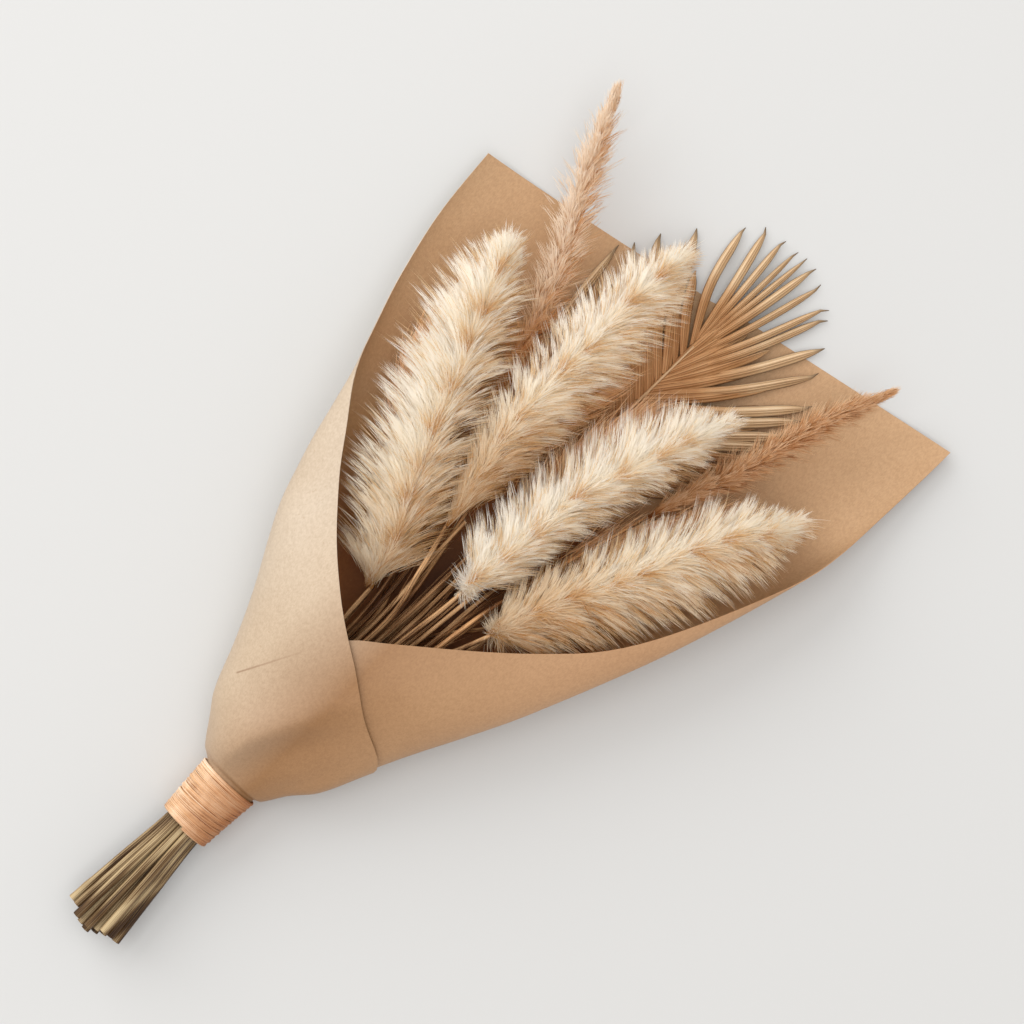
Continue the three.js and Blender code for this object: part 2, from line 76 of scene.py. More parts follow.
def keyed(keys: Keys, at: Array | float) -> Array:
    """Reads the smooth curve through keys, which is level outside them.

    Args:
        keys: Pairs of a place and the value there, in order of their places.
        at: The places to read at.

    Returns:
        The values there.
    """
    places, values = np.array(keys, float).T
    slopes = np.gradient(values, places)
    slopes[1:-1] = (values[2:] - values[:-2]) / (places[2:] - places[:-2])
    at = np.clip(at, places[0], places[-1])
    i = np.clip(np.searchsorted(places, at, side="right") - 1, 0, len(places) - 2)
    span = places[i + 1] - places[i]
    t = (at - places[i]) / span
    blend = t * t * (3 - 2 * t)
    rise = t * (1 - t) * ((1 - t) * slopes[i] - t * slopes[i + 1]) * span
    return values[i] + (values[i + 1] - values[i]) * blend + rise


def smooth_step(start: float, end: float, at: Array | float) -> Array:
    """Rises smoothly from 0 at start to 1 at end."""
    t = np.clip((np.asarray(at, float) - start) / (end - start), 0, 1)
    return t * t * (3 - 2 * t)


def waves(at: Array, *parts: Place) -> Array:
    """Adds up sine waves, each given by its height, its rate and its phase."""
    return sum(height * np.sin(at * rate + phase) for height, rate, phase in parts)


def unit(vectors: Array) -> Array:
    """Scales each vector to length 1."""
    return vectors / np.maximum(np.linalg.norm(vectors, axis=-1, keepdims=True), 1e-9)


def column(values: Array) -> Array:
    """Turns numbers into a column, so that each scales a vector."""
    return values[..., None]


def colour(code: str) -> tuple[float, float, float, float]:
    """Turns a screen colour into the linear colour that shaders take.

    Args:
        code: The screen colour, such as "#c69c6d".

    Returns:
        The linear colour, with its opacity.
    """
    shares = [int(code[i : i + 2], 16) / 255 for i in (1, 3, 5)]
    linear = [s / 12.92 if s <= 0.04045 else ((s + 0.055) / 1.055) ** 2.4 for s in shares]
    return (*linear, 1.0)


@dataclass
class Course:
    """A smooth course through points, measured along its length."""

    points: Array
    fine: Array = field(init=False)
    headings: Array = field(init=False)
    reached: Array = field(init=False)
    samples: int = 24

    def __post_init__(self) -> None:
        """Samples the centripetal curve through the points."""
        points = np.asarray(self.points, float)
        ends = np.vstack([2 * points[0] - points[1], points, 2 * points[-1] - points[-2]])
        gaps = np.sqrt(np.linalg.norm(np.diff(ends, axis=0), axis=1))
        t = np.linspace(0, 1, self.samples, endpoint=False)[:, None]
        stretches = []
        for i in range(1, len(ends) - 2):
            p0, p1, p2, p3 = ends[i - 1 : i + 3]
            g0, g1, g2 = gaps[i - 1 : i + 2]
            leave = ((p1 - p0) / g0 - (p2 - p0) / (g0 + g1) + (p2 - p1) / g1) * g1
            arrive = ((p2 - p1) / g1 - (p3 - p1) / (g1 + g2) + (p3 - p2) / g2) * g1
            near = (2 * t**3 - 3 * t**2 + 1) * p1 + (t**3 - 2 * t**2 + t) * leave
            stretches.append(near + (3 * t**2 - 2 * t**3) * p2 + (t**3 - t**2) * arrive)
        self.fine = np.vstack([*stretches, points[-1:]])
        self.headings = unit(np.gradient(self.fine, axis=0))
        steps = np.linalg.norm(np.diff(self.fine, axis=0), axis=1)
        self.reached = np.concatenate([[0], np.cumsum(steps)])

    @property
    def length(self) -> float:
        """The length of the whole course."""
        return float(self.reached[-1])

    def at(self, distance: Array) -> tuple[Array, Array, Array]:
        """Finds places on the course, which runs on straight beyond its ends.

        Args:
            distance: How far along the course each place lies.

        Returns:
            The places, and there the directions to the side of the course and up from it.
        """
        inside = np.clip(distance, 0, self.length)
        centre, heading = (
            np.stack([np.interp(inside, self.reached, axis) for axis in values.T], axis=-1)
            for values in (self.fine, self.headings)
        )
        along = unit(heading)
        side = unit(np.cross(along, UP))
        return centre + along * column(distance - inside), side, np.cross(side, along)

    def round_at(self, distance: Array, angle: Array, away: Array) -> Array:
        """Finds places round the course, at an angle from straight up and a distance away from it."""
        centre, side, up = self.at(distance)
        return centre + (column(np.sin(angle)) * side + column(np.cos(angle)) * up) * column(away)


def select(*pieces: Piece) -> None:
    """Selects pieces alone. Without any, it deselects all.

    Args:
        *pieces: The pieces, of which the first one becomes the active one.
    """
    bpy.ops.object.select_all(action="DESELECT")
    for piece in pieces:
        piece.select_set(True)
        bpy.context.view_layer.objects.active = pieces[0]


def add_stock(name: str, columns: int, rows: int) -> tuple[Piece, Array, Array]:
    """Adds a flat grid as stock for a sheet, a tube or a blade.

    Args:
        name: The new piece's name.
        columns: The faces across.
        rows: The faces along.

    Returns:
        The piece, and for each of its vertices its share across and its share along.
    """
    select()
    bpy.ops.mesh.primitive_grid_add(x_subdivisions=columns, y_subdivisions=rows, size=1)
    stock = bpy.context.object
    stock.name = stock.data.name = name
    flat = np.empty(len(stock.data.vertices) * 3)
    stock.data.vertices.foreach_get("co", flat)
    flat = flat.reshape(-1, 3) + 0.5
    return stock, flat[:, 0], flat[:, 1]


def lay(piece: Piece, points: Array) -> None:
    """Moves a piece's vertices to points in millimetres."""
    piece.data.vertices.foreach_set("co", (np.asarray(points) * MM).ravel())
    piece.data.update()


def close_tube(piece: Piece) -> None:
    """Closes the seam of a grid that was laid as a tube, and its two ends.

    Args:
        piece: The tube.
    """
    select(piece)
    bpy.ops.object.mode_set(mode="EDIT")
    bpy.ops.mesh.select_all(action="SELECT")
    bpy.ops.mesh.remove_doubles(threshold=0.01 * MM)
    bpy.ops.mesh.select_all(action="DESELECT")
    bpy.ops.mesh.select_non_manifold()
    bpy.ops.mesh.fill_holes(sides=0)
    bpy.ops.mesh.select_all(action="SELECT")
    bpy.ops.mesh.normals_make_consistent(inside=False)
    bpy.ops.object.mode_set(mode="OBJECT")


def lay_tube(
    name: str,
    course: Course,
    radius: Callable[[Array, Array], Array],
    faces: tuple[int, int],
    ends: Pair = (0, 1),
) -> Piece:
    """Makes a closed round piece along a course.

    Args:
        name: The piece's name.
        course: The course that it follows.
        radius: Gives the radius for a share of the length and an angle round the piece.
        faces: How many faces there are round it and along it.
        ends: The shares of the course where it starts and ends.

    Returns:
        The piece.
    """
    piece, around, share = add_stock(name, *faces)
    angle = around * 2 * math.pi
    distance = (ends[0] + (ends[1] - ends[0]) * share) * course.length
    lay(piece, course.round_at(distance, angle, radius(share, angle)))
    close_tube(piece)
    return piece


def thicken(piece: Piece, thickness: float, offset: float, inner_material: int = 0) -> None:
    """Gives a sheet its thickness.

    Args:
        piece: The sheet.
        thickness: Its thickness.
        offset: 0 where it grows to both sides, and -1 where it grows inwards alone.
        inner_material: The number of its inner side's material.
    """
    solid = piece.modifiers.new("thickness", "SOLIDIFY")
    solid.thickness = thickness * MM
    solid.offset = offset
    solid.material_offset = inner_material
    select(piece)
    bpy.ops.object.modifier_apply(modifier=solid.name)


def join(pieces: list[Piece], name: str) -> Piece:
    """Joins pieces into one.

    Args:
        pieces: The pieces, of which the first one takes in the others.
        name: Its new name.

    Returns:
        The joined piece.
    """
    select(*pieces)
    bpy.ops.object.join()
    pieces[0].name = pieces[0].data.name = name
    return pieces[0]


def shade_smooth(piece: Piece, crease_degrees: float = 50) -> None:
    """Shades a piece smoothly, apart from edges sharper than the crease."""
    select(piece)
    bpy.ops.object.shade_smooth_by_angle(angle=math.radians(crease_degrees))


def place_map(piece: Piece, name: str, corner: Pair, size: Pair) -> None:
    """Names a piece's map and shrinks it into a small field.

    Args:
        piece: The piece.
        name: The map's new name.
        corner: The field's lower left corner.
        size: The field's size.
    """
    layer = piece.data.uv_layers[0]
    layer.name = name
    spots = np.empty(len(piece.data.loops) * 2, np.float32)
    layer.uv.foreach_get("vector", spots)
    spots = spots.reshape(-1, 2) * size + corner
    layer.uv.foreach_set("vector", spots.astype(np.float32).ravel())


def wear(piece: Piece, *materials: bpy.types.Material) -> None:
    """Gives a piece its materials in place of those it has.

    Args:
        piece: The piece.
        *materials: The materials, in the order of their numbers.
    """
    piece.data.materials.clear()
    for material in materials:
        piece.data.materials.append(material)


def hand_over(piece: Piece, node: str) -> None:
    """Lets a piece stand for a solid of the frame and move with it.

    Args:
        piece: The finished piece.
        node: The solid that it replaces.
    """
    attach(piece, BODY)
    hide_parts(node)
    piece.data.calc_loop_triangles()
    LOG.info("%s: %d triangles", piece.name, len(piece.data.loop_triangles))


class Shading:
    """A material's nodes, added one by one and linked to each other."""

    def __init__(self, name: str) -> None:
        """Makes a material with one Principled shader.

        Args:
            name: The material's name.
        """
        self.material = bpy.data.materials.new(name)
        self.material.use_nodes = True
        self.nodes = self.material.node_tree.nodes
        self.links = self.material.node_tree.links
        self.shader = self.nodes["Principled BSDF"]

    def add(self, kind: str, settings: dict | None = None, **inputs: object) -> bpy.types.Node:
        """Adds a node.

        Args:
            kind: The node's type.
            settings: Values for the node's own properties.
            **inputs: For an input, named with underscores for spaces, a value or the socket that feeds it.

        Returns:
            The node.
        """
        node = self.nodes.new(kind)
        for key, value in (settings or {}).items():
            setattr(node, key, value)
        for key, value in inputs.items():
            self.feed(node.inputs[key.replace("_", " ")], value)
        return node

    def feed(self, socket: Socket, value: object) -> None:
        """Sets a socket to a value, or links it to another socket.

        Args:
            socket: The input.
            value: The value, or the socket that feeds it.
        """
        if isinstance(value, Socket):
            self.links.new(value, socket)
        else:
            socket.default_value = value

    def where(self, kind: str) -> Socket:
        """Adds texture coordinates of a kind, such as Object or UV."""
        return self.add("ShaderNodeTexCoord").outputs[kind]

    def part(self, vector: Socket, axis: str) -> Socket:
        """Adds the part of a vector along X, Y or Z."""
        return self.add("ShaderNodeSeparateXYZ", Vector=vector).outputs[axis]

    def ramp(self, share: Socket, *stops: tuple[float, str]) -> Socket:
        """Adds a colour ramp.

        Args:
            share: What it reads, from 0 to 1.
            *stops: Pairs of a share and a screen colour.

        Returns:
            Its colour.
        """
        node = self.add("ShaderNodeValToRGB", Fac=share)
        elements = node.color_ramp.elements
        while len(elements) < len(stops):
            elements.new(0.5)
        for element, (place, code) in zip(elements, stops):
            element.position = place
            element.color = colour(code)
        return node.outputs["Color"]

    def noise(self, vector: Socket, scale: float, detail: float = 2) -> Socket:
        """Adds a noise."""
        return self.add("ShaderNodeTexNoise", Vector=vector, Scale=scale, Detail=detail).outputs["Fac"]

    def stretched(self, vector: Socket, scale: Place, turn: Place = (0, 0, 0)) -> Socket:
        """Adds a mapping that scales and turns coordinates."""
        return self.add("ShaderNodeMapping", Vector=vector, Scale=scale, Rotation=turn).outputs["Vector"]

    def sum(self, kind: str, a: object, b: object) -> Socket:
        """Adds a sum of two numbers.

        Args:
            kind: Its kind, such as ADD or MULTIPLY.
            a: The first number, or the socket that feeds it.
            b: The second one.

        Returns:
            The result.
        """
        node = self.add("ShaderNodeMath", {"operation": kind})
        self.feed(node.inputs[0], a)
        self.feed(node.inputs[1], b)
        return node.outputs[0]

    def shared(self, share: float, a: Socket, b: Socket) -> Socket:
        """Adds up a share of one number and the rest of another."""
        return self.sum("ADD", self.sum("MULTIPLY", a, share), self.sum("MULTIPLY", b, 1 - share))

    def mixed(self, share: object, below: Socket, above: object, blend: str = "MIX") -> Socket:
        """Adds a mix of two colours.

        Args:
            share: How much of the colour above shows, or the socket that feeds it.
            below: The colour below.
            above: The colour above.
            blend: The blend type.

        Returns:
            The mixed colour.
        """
        node = self.add("ShaderNodeMix", {"data_type": "RGBA", "blend_type": blend})
        self.feed(node.inputs[0], share)
        self.feed(node.inputs[6], below)
        self.feed(node.inputs[7], above)
        return node.outputs[2]

    def tinted(self, share: float, below: Socket, tint: Socket) -> Socket:
        """Multiplies a colour with a share of a tint."""
        return self.mixed(share, below, tint, "MULTIPLY")

    def drifting(self, below: Socket, axis: str, drift: "TintDrift") -> Socket:
        """Multiplies a colour with a tint that drifts over the piece.

        Args:
            below: The colour.
            axis: The way that it drifts, X, Y or Z.
            drift: The tint.

        Returns:
            The tinted colour.
        """
        past_start = self.sum("SUBTRACT", self.part(self.where("Object"), axis), drift.start)
        share = self.sum("DIVIDE", past_start, drift.reach)
        return self.tinted(1, below, self.ramp(share, (0, drift.near), (1, drift.far)))

    def surface(self, shown: object, roughness: float, specular: float) -> None:
        """Dresses the shader.

        Args:
            shown: Its colour, or the socket that feeds it.
            roughness: Its roughness.
            specular: The strength of its reflections.
        """
        self.feed(self.shader.inputs["Base Color"], shown)
        self.feed(self.shader.inputs["Roughness"], roughness)
        self.feed(self.shader.inputs["Specular IOR Level"], specular)

    def bump(self, height: Socket, depth: float, strength: float) -> None:
        """Raises the surface.

        Args:
            height: The height, from 0 to 1.
            depth: What a height of 1 stands for, in millimetres.
            strength: How much of it shows.
        """
        node = self.add("ShaderNodeBump", Height=height, Distance=depth * MM, Strength=strength)
        self.links.new(node.outputs["Normal"], self.shader.inputs["Normal"])

    def through_light(self, tint: Socket, share: float) -> None:
        """Lets light through.

        Args:
            tint: The tint that the light takes.
            share: The share of the light that comes through.
        """
        thin = self.add("ShaderNodeBsdfTranslucent", Color=tint)
        mix = self.add("ShaderNodeMixShader", Fac=share)
        self.links.new(self.shader.outputs["BSDF"], mix.inputs[1])
        self.links.new(thin.outputs["BSDF"], mix.inputs[2])
        self.links.new(mix.outputs["Shader"], self.nodes["Material Output"].inputs["Surface"])


class TintDrift(NamedTuple):
    """A tint that is the near one up to the start, and the far one from the reach past it on."""

    start: float
    reach: float
    near: str
    far: str


@dataclass(frozen=True)
class HairFinish:
    """Silky dry hair, darker and warmer at its roots. Some light comes through it."""

    name: str
    along: Stops
    tints: Stops
    through: float

    def material(self) -> bpy.types.Material:
        """Makes the material, which reads the tint across the hair's map and the place along it.

        Returns:
            The material.
        """
        shading = Shading(self.name)
        spot = shading.add("ShaderNodeUVMap", {"uv_map": HAIR_MAP}).outputs["UV"]
        length = shading.ramp(shading.part(spot, "Y"), *self.along)
        shown = shading.tinted(1, length, shading.ramp(shading.part(spot, "X"), *self.tints))
        shading.surface(shown, 0.7, 0.12)
        shading.through_light(shown, self.through)
        return shading.material


class Drift(Enum):
    """The ways in which painted light and shade can drift over the paper."""

    ACROSS = "LINEAR"
    AROUND = "SPHERICAL"


@dataclass(frozen=True)
class CreaseShadow:
    """A fine straight line of painted shadow in a crease on the upper side of the paper, from one place to
    another.
    """

    start: Pair
    end: Pair
    half_width: float = 0.0006
    lowest: float = 0.03
    # the colour of the painted shadow in the crease
    tone: str = "#7a5536"
    strengths: Stops = ((0, BLACK), (0.03, "#d0d0d0"), (0.5, "#a0a0a0"), (1, BLACK))

    def mask(self, shading: Shading, where: Socket) -> Socket:
        """Makes the mask of the crease's painted shadow.

        Args:
            shading: The paper's shading.
            where: The place that is shaded.

        Returns:
            How strongly the painted shadow of the crease shows there, from 0 to 1.
        """
        run = (self.end[0] - self.start[0], self.end[1] - self.start[1])
        turn = (0, 0, math.atan2(run[1], run[0]))
        kind, place = {"vector_type": "TEXTURE"}, (*self.start, 0)
        mapping = shading.add("ShaderNodeMapping", kind, Vector=where, Location=place, Rotation=turn)
        placed = mapping.outputs["Vector"]
        along = shading.sum("DIVIDE", shading.part(placed, "X"), math.hypot(*run))
        kept = shading.ramp(along, *self.strengths)
        across = shading.sum("DIVIDE", shading.part(placed, "Y"), self.half_width)
        line = shading.ramp(shading.sum("MULTIPLY", across, across), (0, WHITE), (1, BLACK))
        above = shading.sum("GREATER_THAN", shading.part(placed, "Z"), self.lowest)
        return shading.sum("MULTIPLY", shading.sum("MULTIPLY", line, kept), above)


class Mottle(NamedTuple):
    """A fine pattern in the paper: its scale and detail, its tones and how strongly it shows."""

    scale: float
    detail: float
    tones: Stops
    share: float


@dataclass(frozen=True)
class KraftFinish:
    """Smooth brown kraft paper with short fibres and fine specks, whose tone drifts over the sheet as
    painted light and shade.

    Across the bundle it drifts over the reach from the middle on: the outside is painted paler on the
    lit left flap and deeper towards the middle and the right flap, which lie in shade. Around the
    middle it drifts back to the first tone within the reach: the inside is painted darker towards the
    shaded middle among the stems. The crease is a fine line of painted shadow.
    """

    name: str
    tones: Stops
    drift: Drift
    middle: Pair
    reach: Pair
    gloss: float
    crease: CreaseShadow | None = None
    clouds: Mottle = Mottle(14, 3, ((0.3, "#eee6dc"), (0.65, WHITE)), 0.5)
    fibres: Mottle = Mottle(1900, 2, ((0.3, "#d6cfc6"), (0.62, WHITE)), 0.36)
    blotches: Mottle = Mottle(500, 3, ((0.35, "#d6cec4"), (0.6, WHITE)), 0.22)
    specks: Mottle = Mottle(700, 1, ((0.72, BLACK), (0.77, "#8c8c8c")), 1)
    speck_tone: str = "#9a7048"
    fibre_stretch: Place = (1, 0.35, 1)
    fibre_turn: Place = (0, 0, 0.5)

    def material(self) -> bpy.types.Material:
        """Makes the material.

        Returns:
            The material.
        """
        shading = Shading(self.name)
        where = shading.where("Object")
        scale = tuple(1 / reach for reach in self.reach)
        shift = tuple(-middle / reach for middle, reach in zip(self.middle, self.reach))
        placed = shading.add("ShaderNodeMapping", Vector=where, Location=(*shift, 0), Scale=(*scale, 0))
        kind = {"gradient_type": self.drift.value}
        share = shading.add("ShaderNodeTexGradient", kind, Vector=placed.outputs[0]).outputs["Fac"]
        # painted light and shade that drifts over the sheet
        shown = shading.ramp(share, *self.tones)
        lengthwise = shading.stretched(where, self.fibre_stretch, self.fibre_turn)
        relief = []
        for spot, mottle in ((where, self.clouds), (lengthwise, self.fibres), (where, self.blotches)):
            relief.append(shading.noise(spot, mottle.scale, mottle.detail))
            shown = shading.tinted(mottle.share, shown, shading.ramp(relief[-1], *mottle.tones))
        specks = shading.ramp(shading.noise(where, self.specks.scale, self.specks.detail), *self.specks.tones)
        shown = shading.mixed(specks, shown, colour(self.speck_tone))
        if self.crease:
            # painted shadow along the crease
            shown = shading.mixed(self.crease.mask(shading, where), shown, colour(self.crease.tone))
        shading.surface(shown, 0.5, self.gloss)
        shading.bump(shading.sum("ADD", *relief[1:]), 0.02, 0.4)
        return shading.material


@dataclass(frozen=True)
class StrawFinish:
    """Dry straw with fine lengthwise streaks, which has one tint below the binding and one above it.

    Its three tones run from dark to light. Painted shade darkens its sides and underside, and leaves
    its top light.
    """

    name: str
    tones: tuple[str, str, str]
    drift: TintDrift
    # painted shade on the sides and underside, light along the top
    painted_shade: Stops = (
        (0.08, WHITE), (0.2, "#a08670"), (0.35, "#6e523a"), (0.66, "#6e523a"), (0.8, "#d8c8b4"), (0.9, WHITE),
    )

    def material(self) -> bpy.types.Material:
        """Makes the material, whose streaks follow the piece's own map.

        Returns:
            The material.
        """
        shading = Shading(self.name)
        spot = shading.where("UV")
        streaks = shading.noise(shading.stretched(spot, (14, 1.2, 1)), 3, 4)
        patches = shading.noise(shading.stretched(shading.where("Object"), (1, 0.12, 1)), 150)
        share = shading.shared(0.55, streaks, patches)
        shown = shading.ramp(share, *zip((0.4, 0.48, 0.57), self.tones))
        # painted shade on the sides and underside
        shown = shading.tinted(0.85, shown, shading.ramp(shading.part(spot, "X"), *self.painted_shade))
        shown = shading.drifting(shown, "Y", self.drift)
        shading.surface(shown, 0.5, 0.2)
        shading.bump(streaks, 0.2, 0.6)
        return shading.material


@dataclass(frozen=True)
class LeafFinish:
    """A dried palm leaf with veins along its leaflets and dark, withered tips.

    Its three tones run from dark to light. The pleat paints light and shade across a leaflet: dark
    edges where leaflets meet, a lit half, a dark line along the fold and a shaded half. The web says how
    it is tinted along one, and withered how much of the tip's tone shows along it.
    """

    name: str
    tones: tuple[str, str, str]
    tip: str
    # painted light and shade across a leaflet: dark edges, lit half, dark fold line, shaded half
    pleat: Stops = (
        (0, "#4e3826"), (0.1, "#e8e0d6"), (0.3, WHITE), (0.44, "#f2ebe2"), (0.5, "#a08c76"),
        (0.57, "#d8ccbe"), (0.75, "#c8bbaa"), (0.9, "#d4c8b8"), (1, "#4e3826"),
    )
    web: Stops = ((0, "#eccfb6"), (0.35, "#efd8c2"), (0.62, WHITE))
    withered: Stops = ((0.86, BLACK), (0.93, "#606060"), (1, WHITE))

    def material(self) -> bpy.types.Material:
        """Makes the material, which reads the leaflet's own map.

        Returns:
            The material.
        """
        shading = Shading(self.name)
        spot = shading.where("UV")
        veins = shading.noise(shading.stretched(spot, (16, 0.8, 1)), 2.6, 3)
        share = shading.shared(0.6, veins, shading.noise(shading.where("Object"), 60, 3))
        body = shading.ramp(share, *zip((0.32, 0.5, 0.68), self.tones))
        along = shading.part(spot, "Y")
        # painted light and shade across the pleat
        body = shading.tinted(0.88, body, shading.ramp(shading.part(spot, "X"), *self.pleat))
        body = shading.tinted(1, body, shading.ramp(along, *self.web))
        shown = shading.mixed(shading.ramp(along, *self.withered), body, colour(self.tip))
        shading.surface(shown, 0.6, 0.12)
        shading.bump(veins, 0.2, 0.5)
        return shading.material


@dataclass(frozen=True)
class RaffiaFinish:
    """Peach raffia strips with fibres along them, painted darker towards the right side of the bundle, which
    lies in shade.

    Its three tones run from dark to light.
    """

    name: str
    tones: tuple[str, str, str]
    drift: TintDrift

    def material(self) -> bpy.types.Material:
        """Makes the material, whose fibres follow the strip's own map.

        Returns:
            The material.
        """
        shading = Shading(self.name)
        fibres = shading.noise(shading.stretched(shading.where("UV"), (10, 26, 1)), 2, 4)
        share = shading.shared(0.75, fibres, shading.noise(shading.where("Object"), 90))
        shown = shading.ramp(share, *zip((0.36, 0.48, 0.64), self.tones))
        # painted shade, darker towards the right, away from the light
        shading.surface(shading.drifting(shown, "X", self.drift), 0.5, 0.25)
        shading.bump(fibres, 0.35, 0.9)
        return shading.material


CREAM = HairFinish(
    "cream_hair",
    (
        (0, "#c9965a"), (0.12, "#dfb47e"), (0.25, "#f0dab6"), (0.42, "#faf2e3"), (0.7, "#fffdf8"),
        (1, "#fffffd"),
    ),
    ((0, "#b57c44"), (0.1, "#d8b07c"), (0.25, "#f0e0c6"), (0.5, "#fbf6ec"), (1, WHITE)),
    0.62,
)
BLUSH = HairFinish(
    "blush_hair",
    ((0, "#764520"), (0.25, "#ab7342"), (0.6, "#d4a778"), (1, "#f2dcbc")),
    ((0, "#c9a587"), (0.5, "#f6eadf"), (1, WHITE)),
    0.4,
)
PALE_BLUSH = HairFinish(
    "pale_blush_hair",
    ((0, "#b68456"), (0.25, "#dfbf9c"), (0.6, "#f0e0cc"), (1, "#fbf2e6")),
    ((0, "#cf9762"), (0.25, "#e2bc94"), (0.5, "#f5eadb"), (1, WHITE)),
    0.4,
)
BROWN = HairFinish(
    "brown_hair",
    ((0, "#a8713f"), (0.3, "#d39a67"), (0.7, "#f2c596"), (1, "#fde6c6")),
    ((0, "#c6aa8c"), (0.4, "#ecdcc8"), (1, WHITE)),
    0.3,
)
STRAW = StrawFinish("straw", ("#2b160c", "#7c5f3c", "#eedcb8"), TintDrift(-0.19, 0.09, "#cfc7b8", "#fcdcc2"))
DARK_STRAW = replace(STRAW, name="dark_straw", drift=STRAW.drift._replace(far="#eec6a6"))
# painted light and shade: pale on the lit left flap, deeper in the middle and on the shaded right flap
OUTER_KRAFT = KraftFinish(
    "kraft_outside",
    ((0, "#c8b7a1"), (0.2, "#c7b39a"), (0.5, "#9b7249"), (0.75, "#b28a62"), (1, "#be956e")),
    Drift.ACROSS, (-0.07, 0), (0.15, 1), 0.5, CreaseShadow((-0.0405, -0.1534), (-0.0225, -0.118)),
)
# painted shade: darker towards the middle of the inside, deep among the stems
INNER_KRAFT = KraftFinish(
    "kraft_inside", ((0, "#c29f7b"), (0.1, "#c6a077"), (0.5, "#a4693c"), (1, "#34160a")), Drift.AROUND,
    (0.008, -0.055), (0.11, 0.14), 0.12,
)
# its drift is painted shade, darker on the right side of the binding
RAFFIA = RaffiaFinish("raffia", ("#84491f", "#e9bb8c", "#ffeed6"), TintDrift(-0.022, 0.036, WHITE, "#b28354"))
PALM = LeafFinish("dried_palm", ("#bb9a76", "#dcc09c", "#e8d6b8"), "#6a5c4a")


@dataclass(frozen=True)
class Packing:
    """How the stems are packed in the binding, splayed below it and fanned out above it.

    A slot is a stem's place in the packing, as a column and a row from its middle.
    """

    middle_x: float = -5
    middle_height: float = 17.3
    stem_radius: float = 2.2
    spacing: float = 4.1
    cut_end: float = -300
    cut_spread: float = 7
    mating_gap: float = 0.45
    across: Keys = ((-300, 1.93), (-262, 1.45), (-228.5, 1.05), (-195, 1.35), (-77, 3.3))
    upright: Keys = ((-300, 1.25), (-262, 1.15), (-228.5, 1.05), (-195, 1.3), (-77, 1.6))
    lean: Keys = ((-195, 0), (-77, 0.5))
    shift: Keys = ((-300, 1.5), (-228.5, 0), (-195, 0), (-77, 9))
    rise: Keys = ((-300, -1.3), (-228.5, 0), (-195, 0), (-77, 8.7))
    places: tuple[float, ...] = (-262, -228.5, -211, -195, -165, -122, -77)

    def route(self, slot: Pair, beyond: tuple[Place, ...]) -> Array:
        """Gives a stem's points.

        Args:
            slot: The stem's place in the packing.
            beyond: Its own points above the fan.

        Returns:
            The points from its cut end on.
        """
        across, row = slot
        trim = abs(math.sin(across * 5.3 + row * 2.9)) * self.cut_spread
        y = np.array([self.cut_end + trim, *self.places])
        sideways = across * self.spacing * keyed(self.across, y)
        height = row * self.spacing * math.sin(math.pi / 3)
        x = self.middle_x + keyed(self.shift, y) + sideways + height * keyed(self.lean, y)
        z = self.middle_height + keyed(self.rise, y) + height * keyed(self.upright, y)
        return np.vstack([np.stack([x, y, z], axis=1), *([point] for point in beyond)])


PACKING = Packing()


@dataclass(frozen=True)
class Blade:
    """A split dry blade that runs beside a stem, from above the binding almost to its end.

    Where a size is a pair, it is drawn between the two. The wave and the fold hold a height and a rate.
    """

    lowest: float = -185
    short_of_end: Pair = (1, 14)
    gap: float = 1.7
    opening: Pair = (0.4, 2.6)
    opened_at: float = 0.5
    width: Pair = (0.4, 1.0)
    twist: float = 0.5
    wave: Pair = (0.3, 11)
    fold: Pair = (0.25, 0.6)
    outline: Keys = ((0, 1), (0.7, 0.9), (1, 0.1))
    segments: int = 24

    def build(self, course: Course, draw: Draw) -> Piece:
        """Models the blade.

        Args:
            course: The course of its stem.
            draw: The source of its irregularities.

        Returns:
            The blade.
        """
        low = float(np.interp(self.lowest, course.fine[:, 1], course.reached))
        end = course.length - draw.uniform(*self.short_of_end)
        piece, across, share = add_stock("blade", 2, self.segments)
        turn = draw.uniform(0, 2 * math.pi) + draw.normal(0, self.twist) * share
        away = self.gap + draw.uniform(*self.opening) * smooth_step(0, self.opened_at, share)
        away = away + self.wave[0] * np.sin(share * self.wave[1] + turn)
        edge = (across - 0.5) * draw.uniform(*self.width) * keyed(self.outline, share)
        fold = self.fold[0] - np.abs(across - 0.5) * self.fold[1]
        distance = low + (end - low) * share
        _, side, up = course.at(distance)
        lay(piece, course.round_at(distance, turn, away) + side * column(edge) + up * column(fold))
        return piece


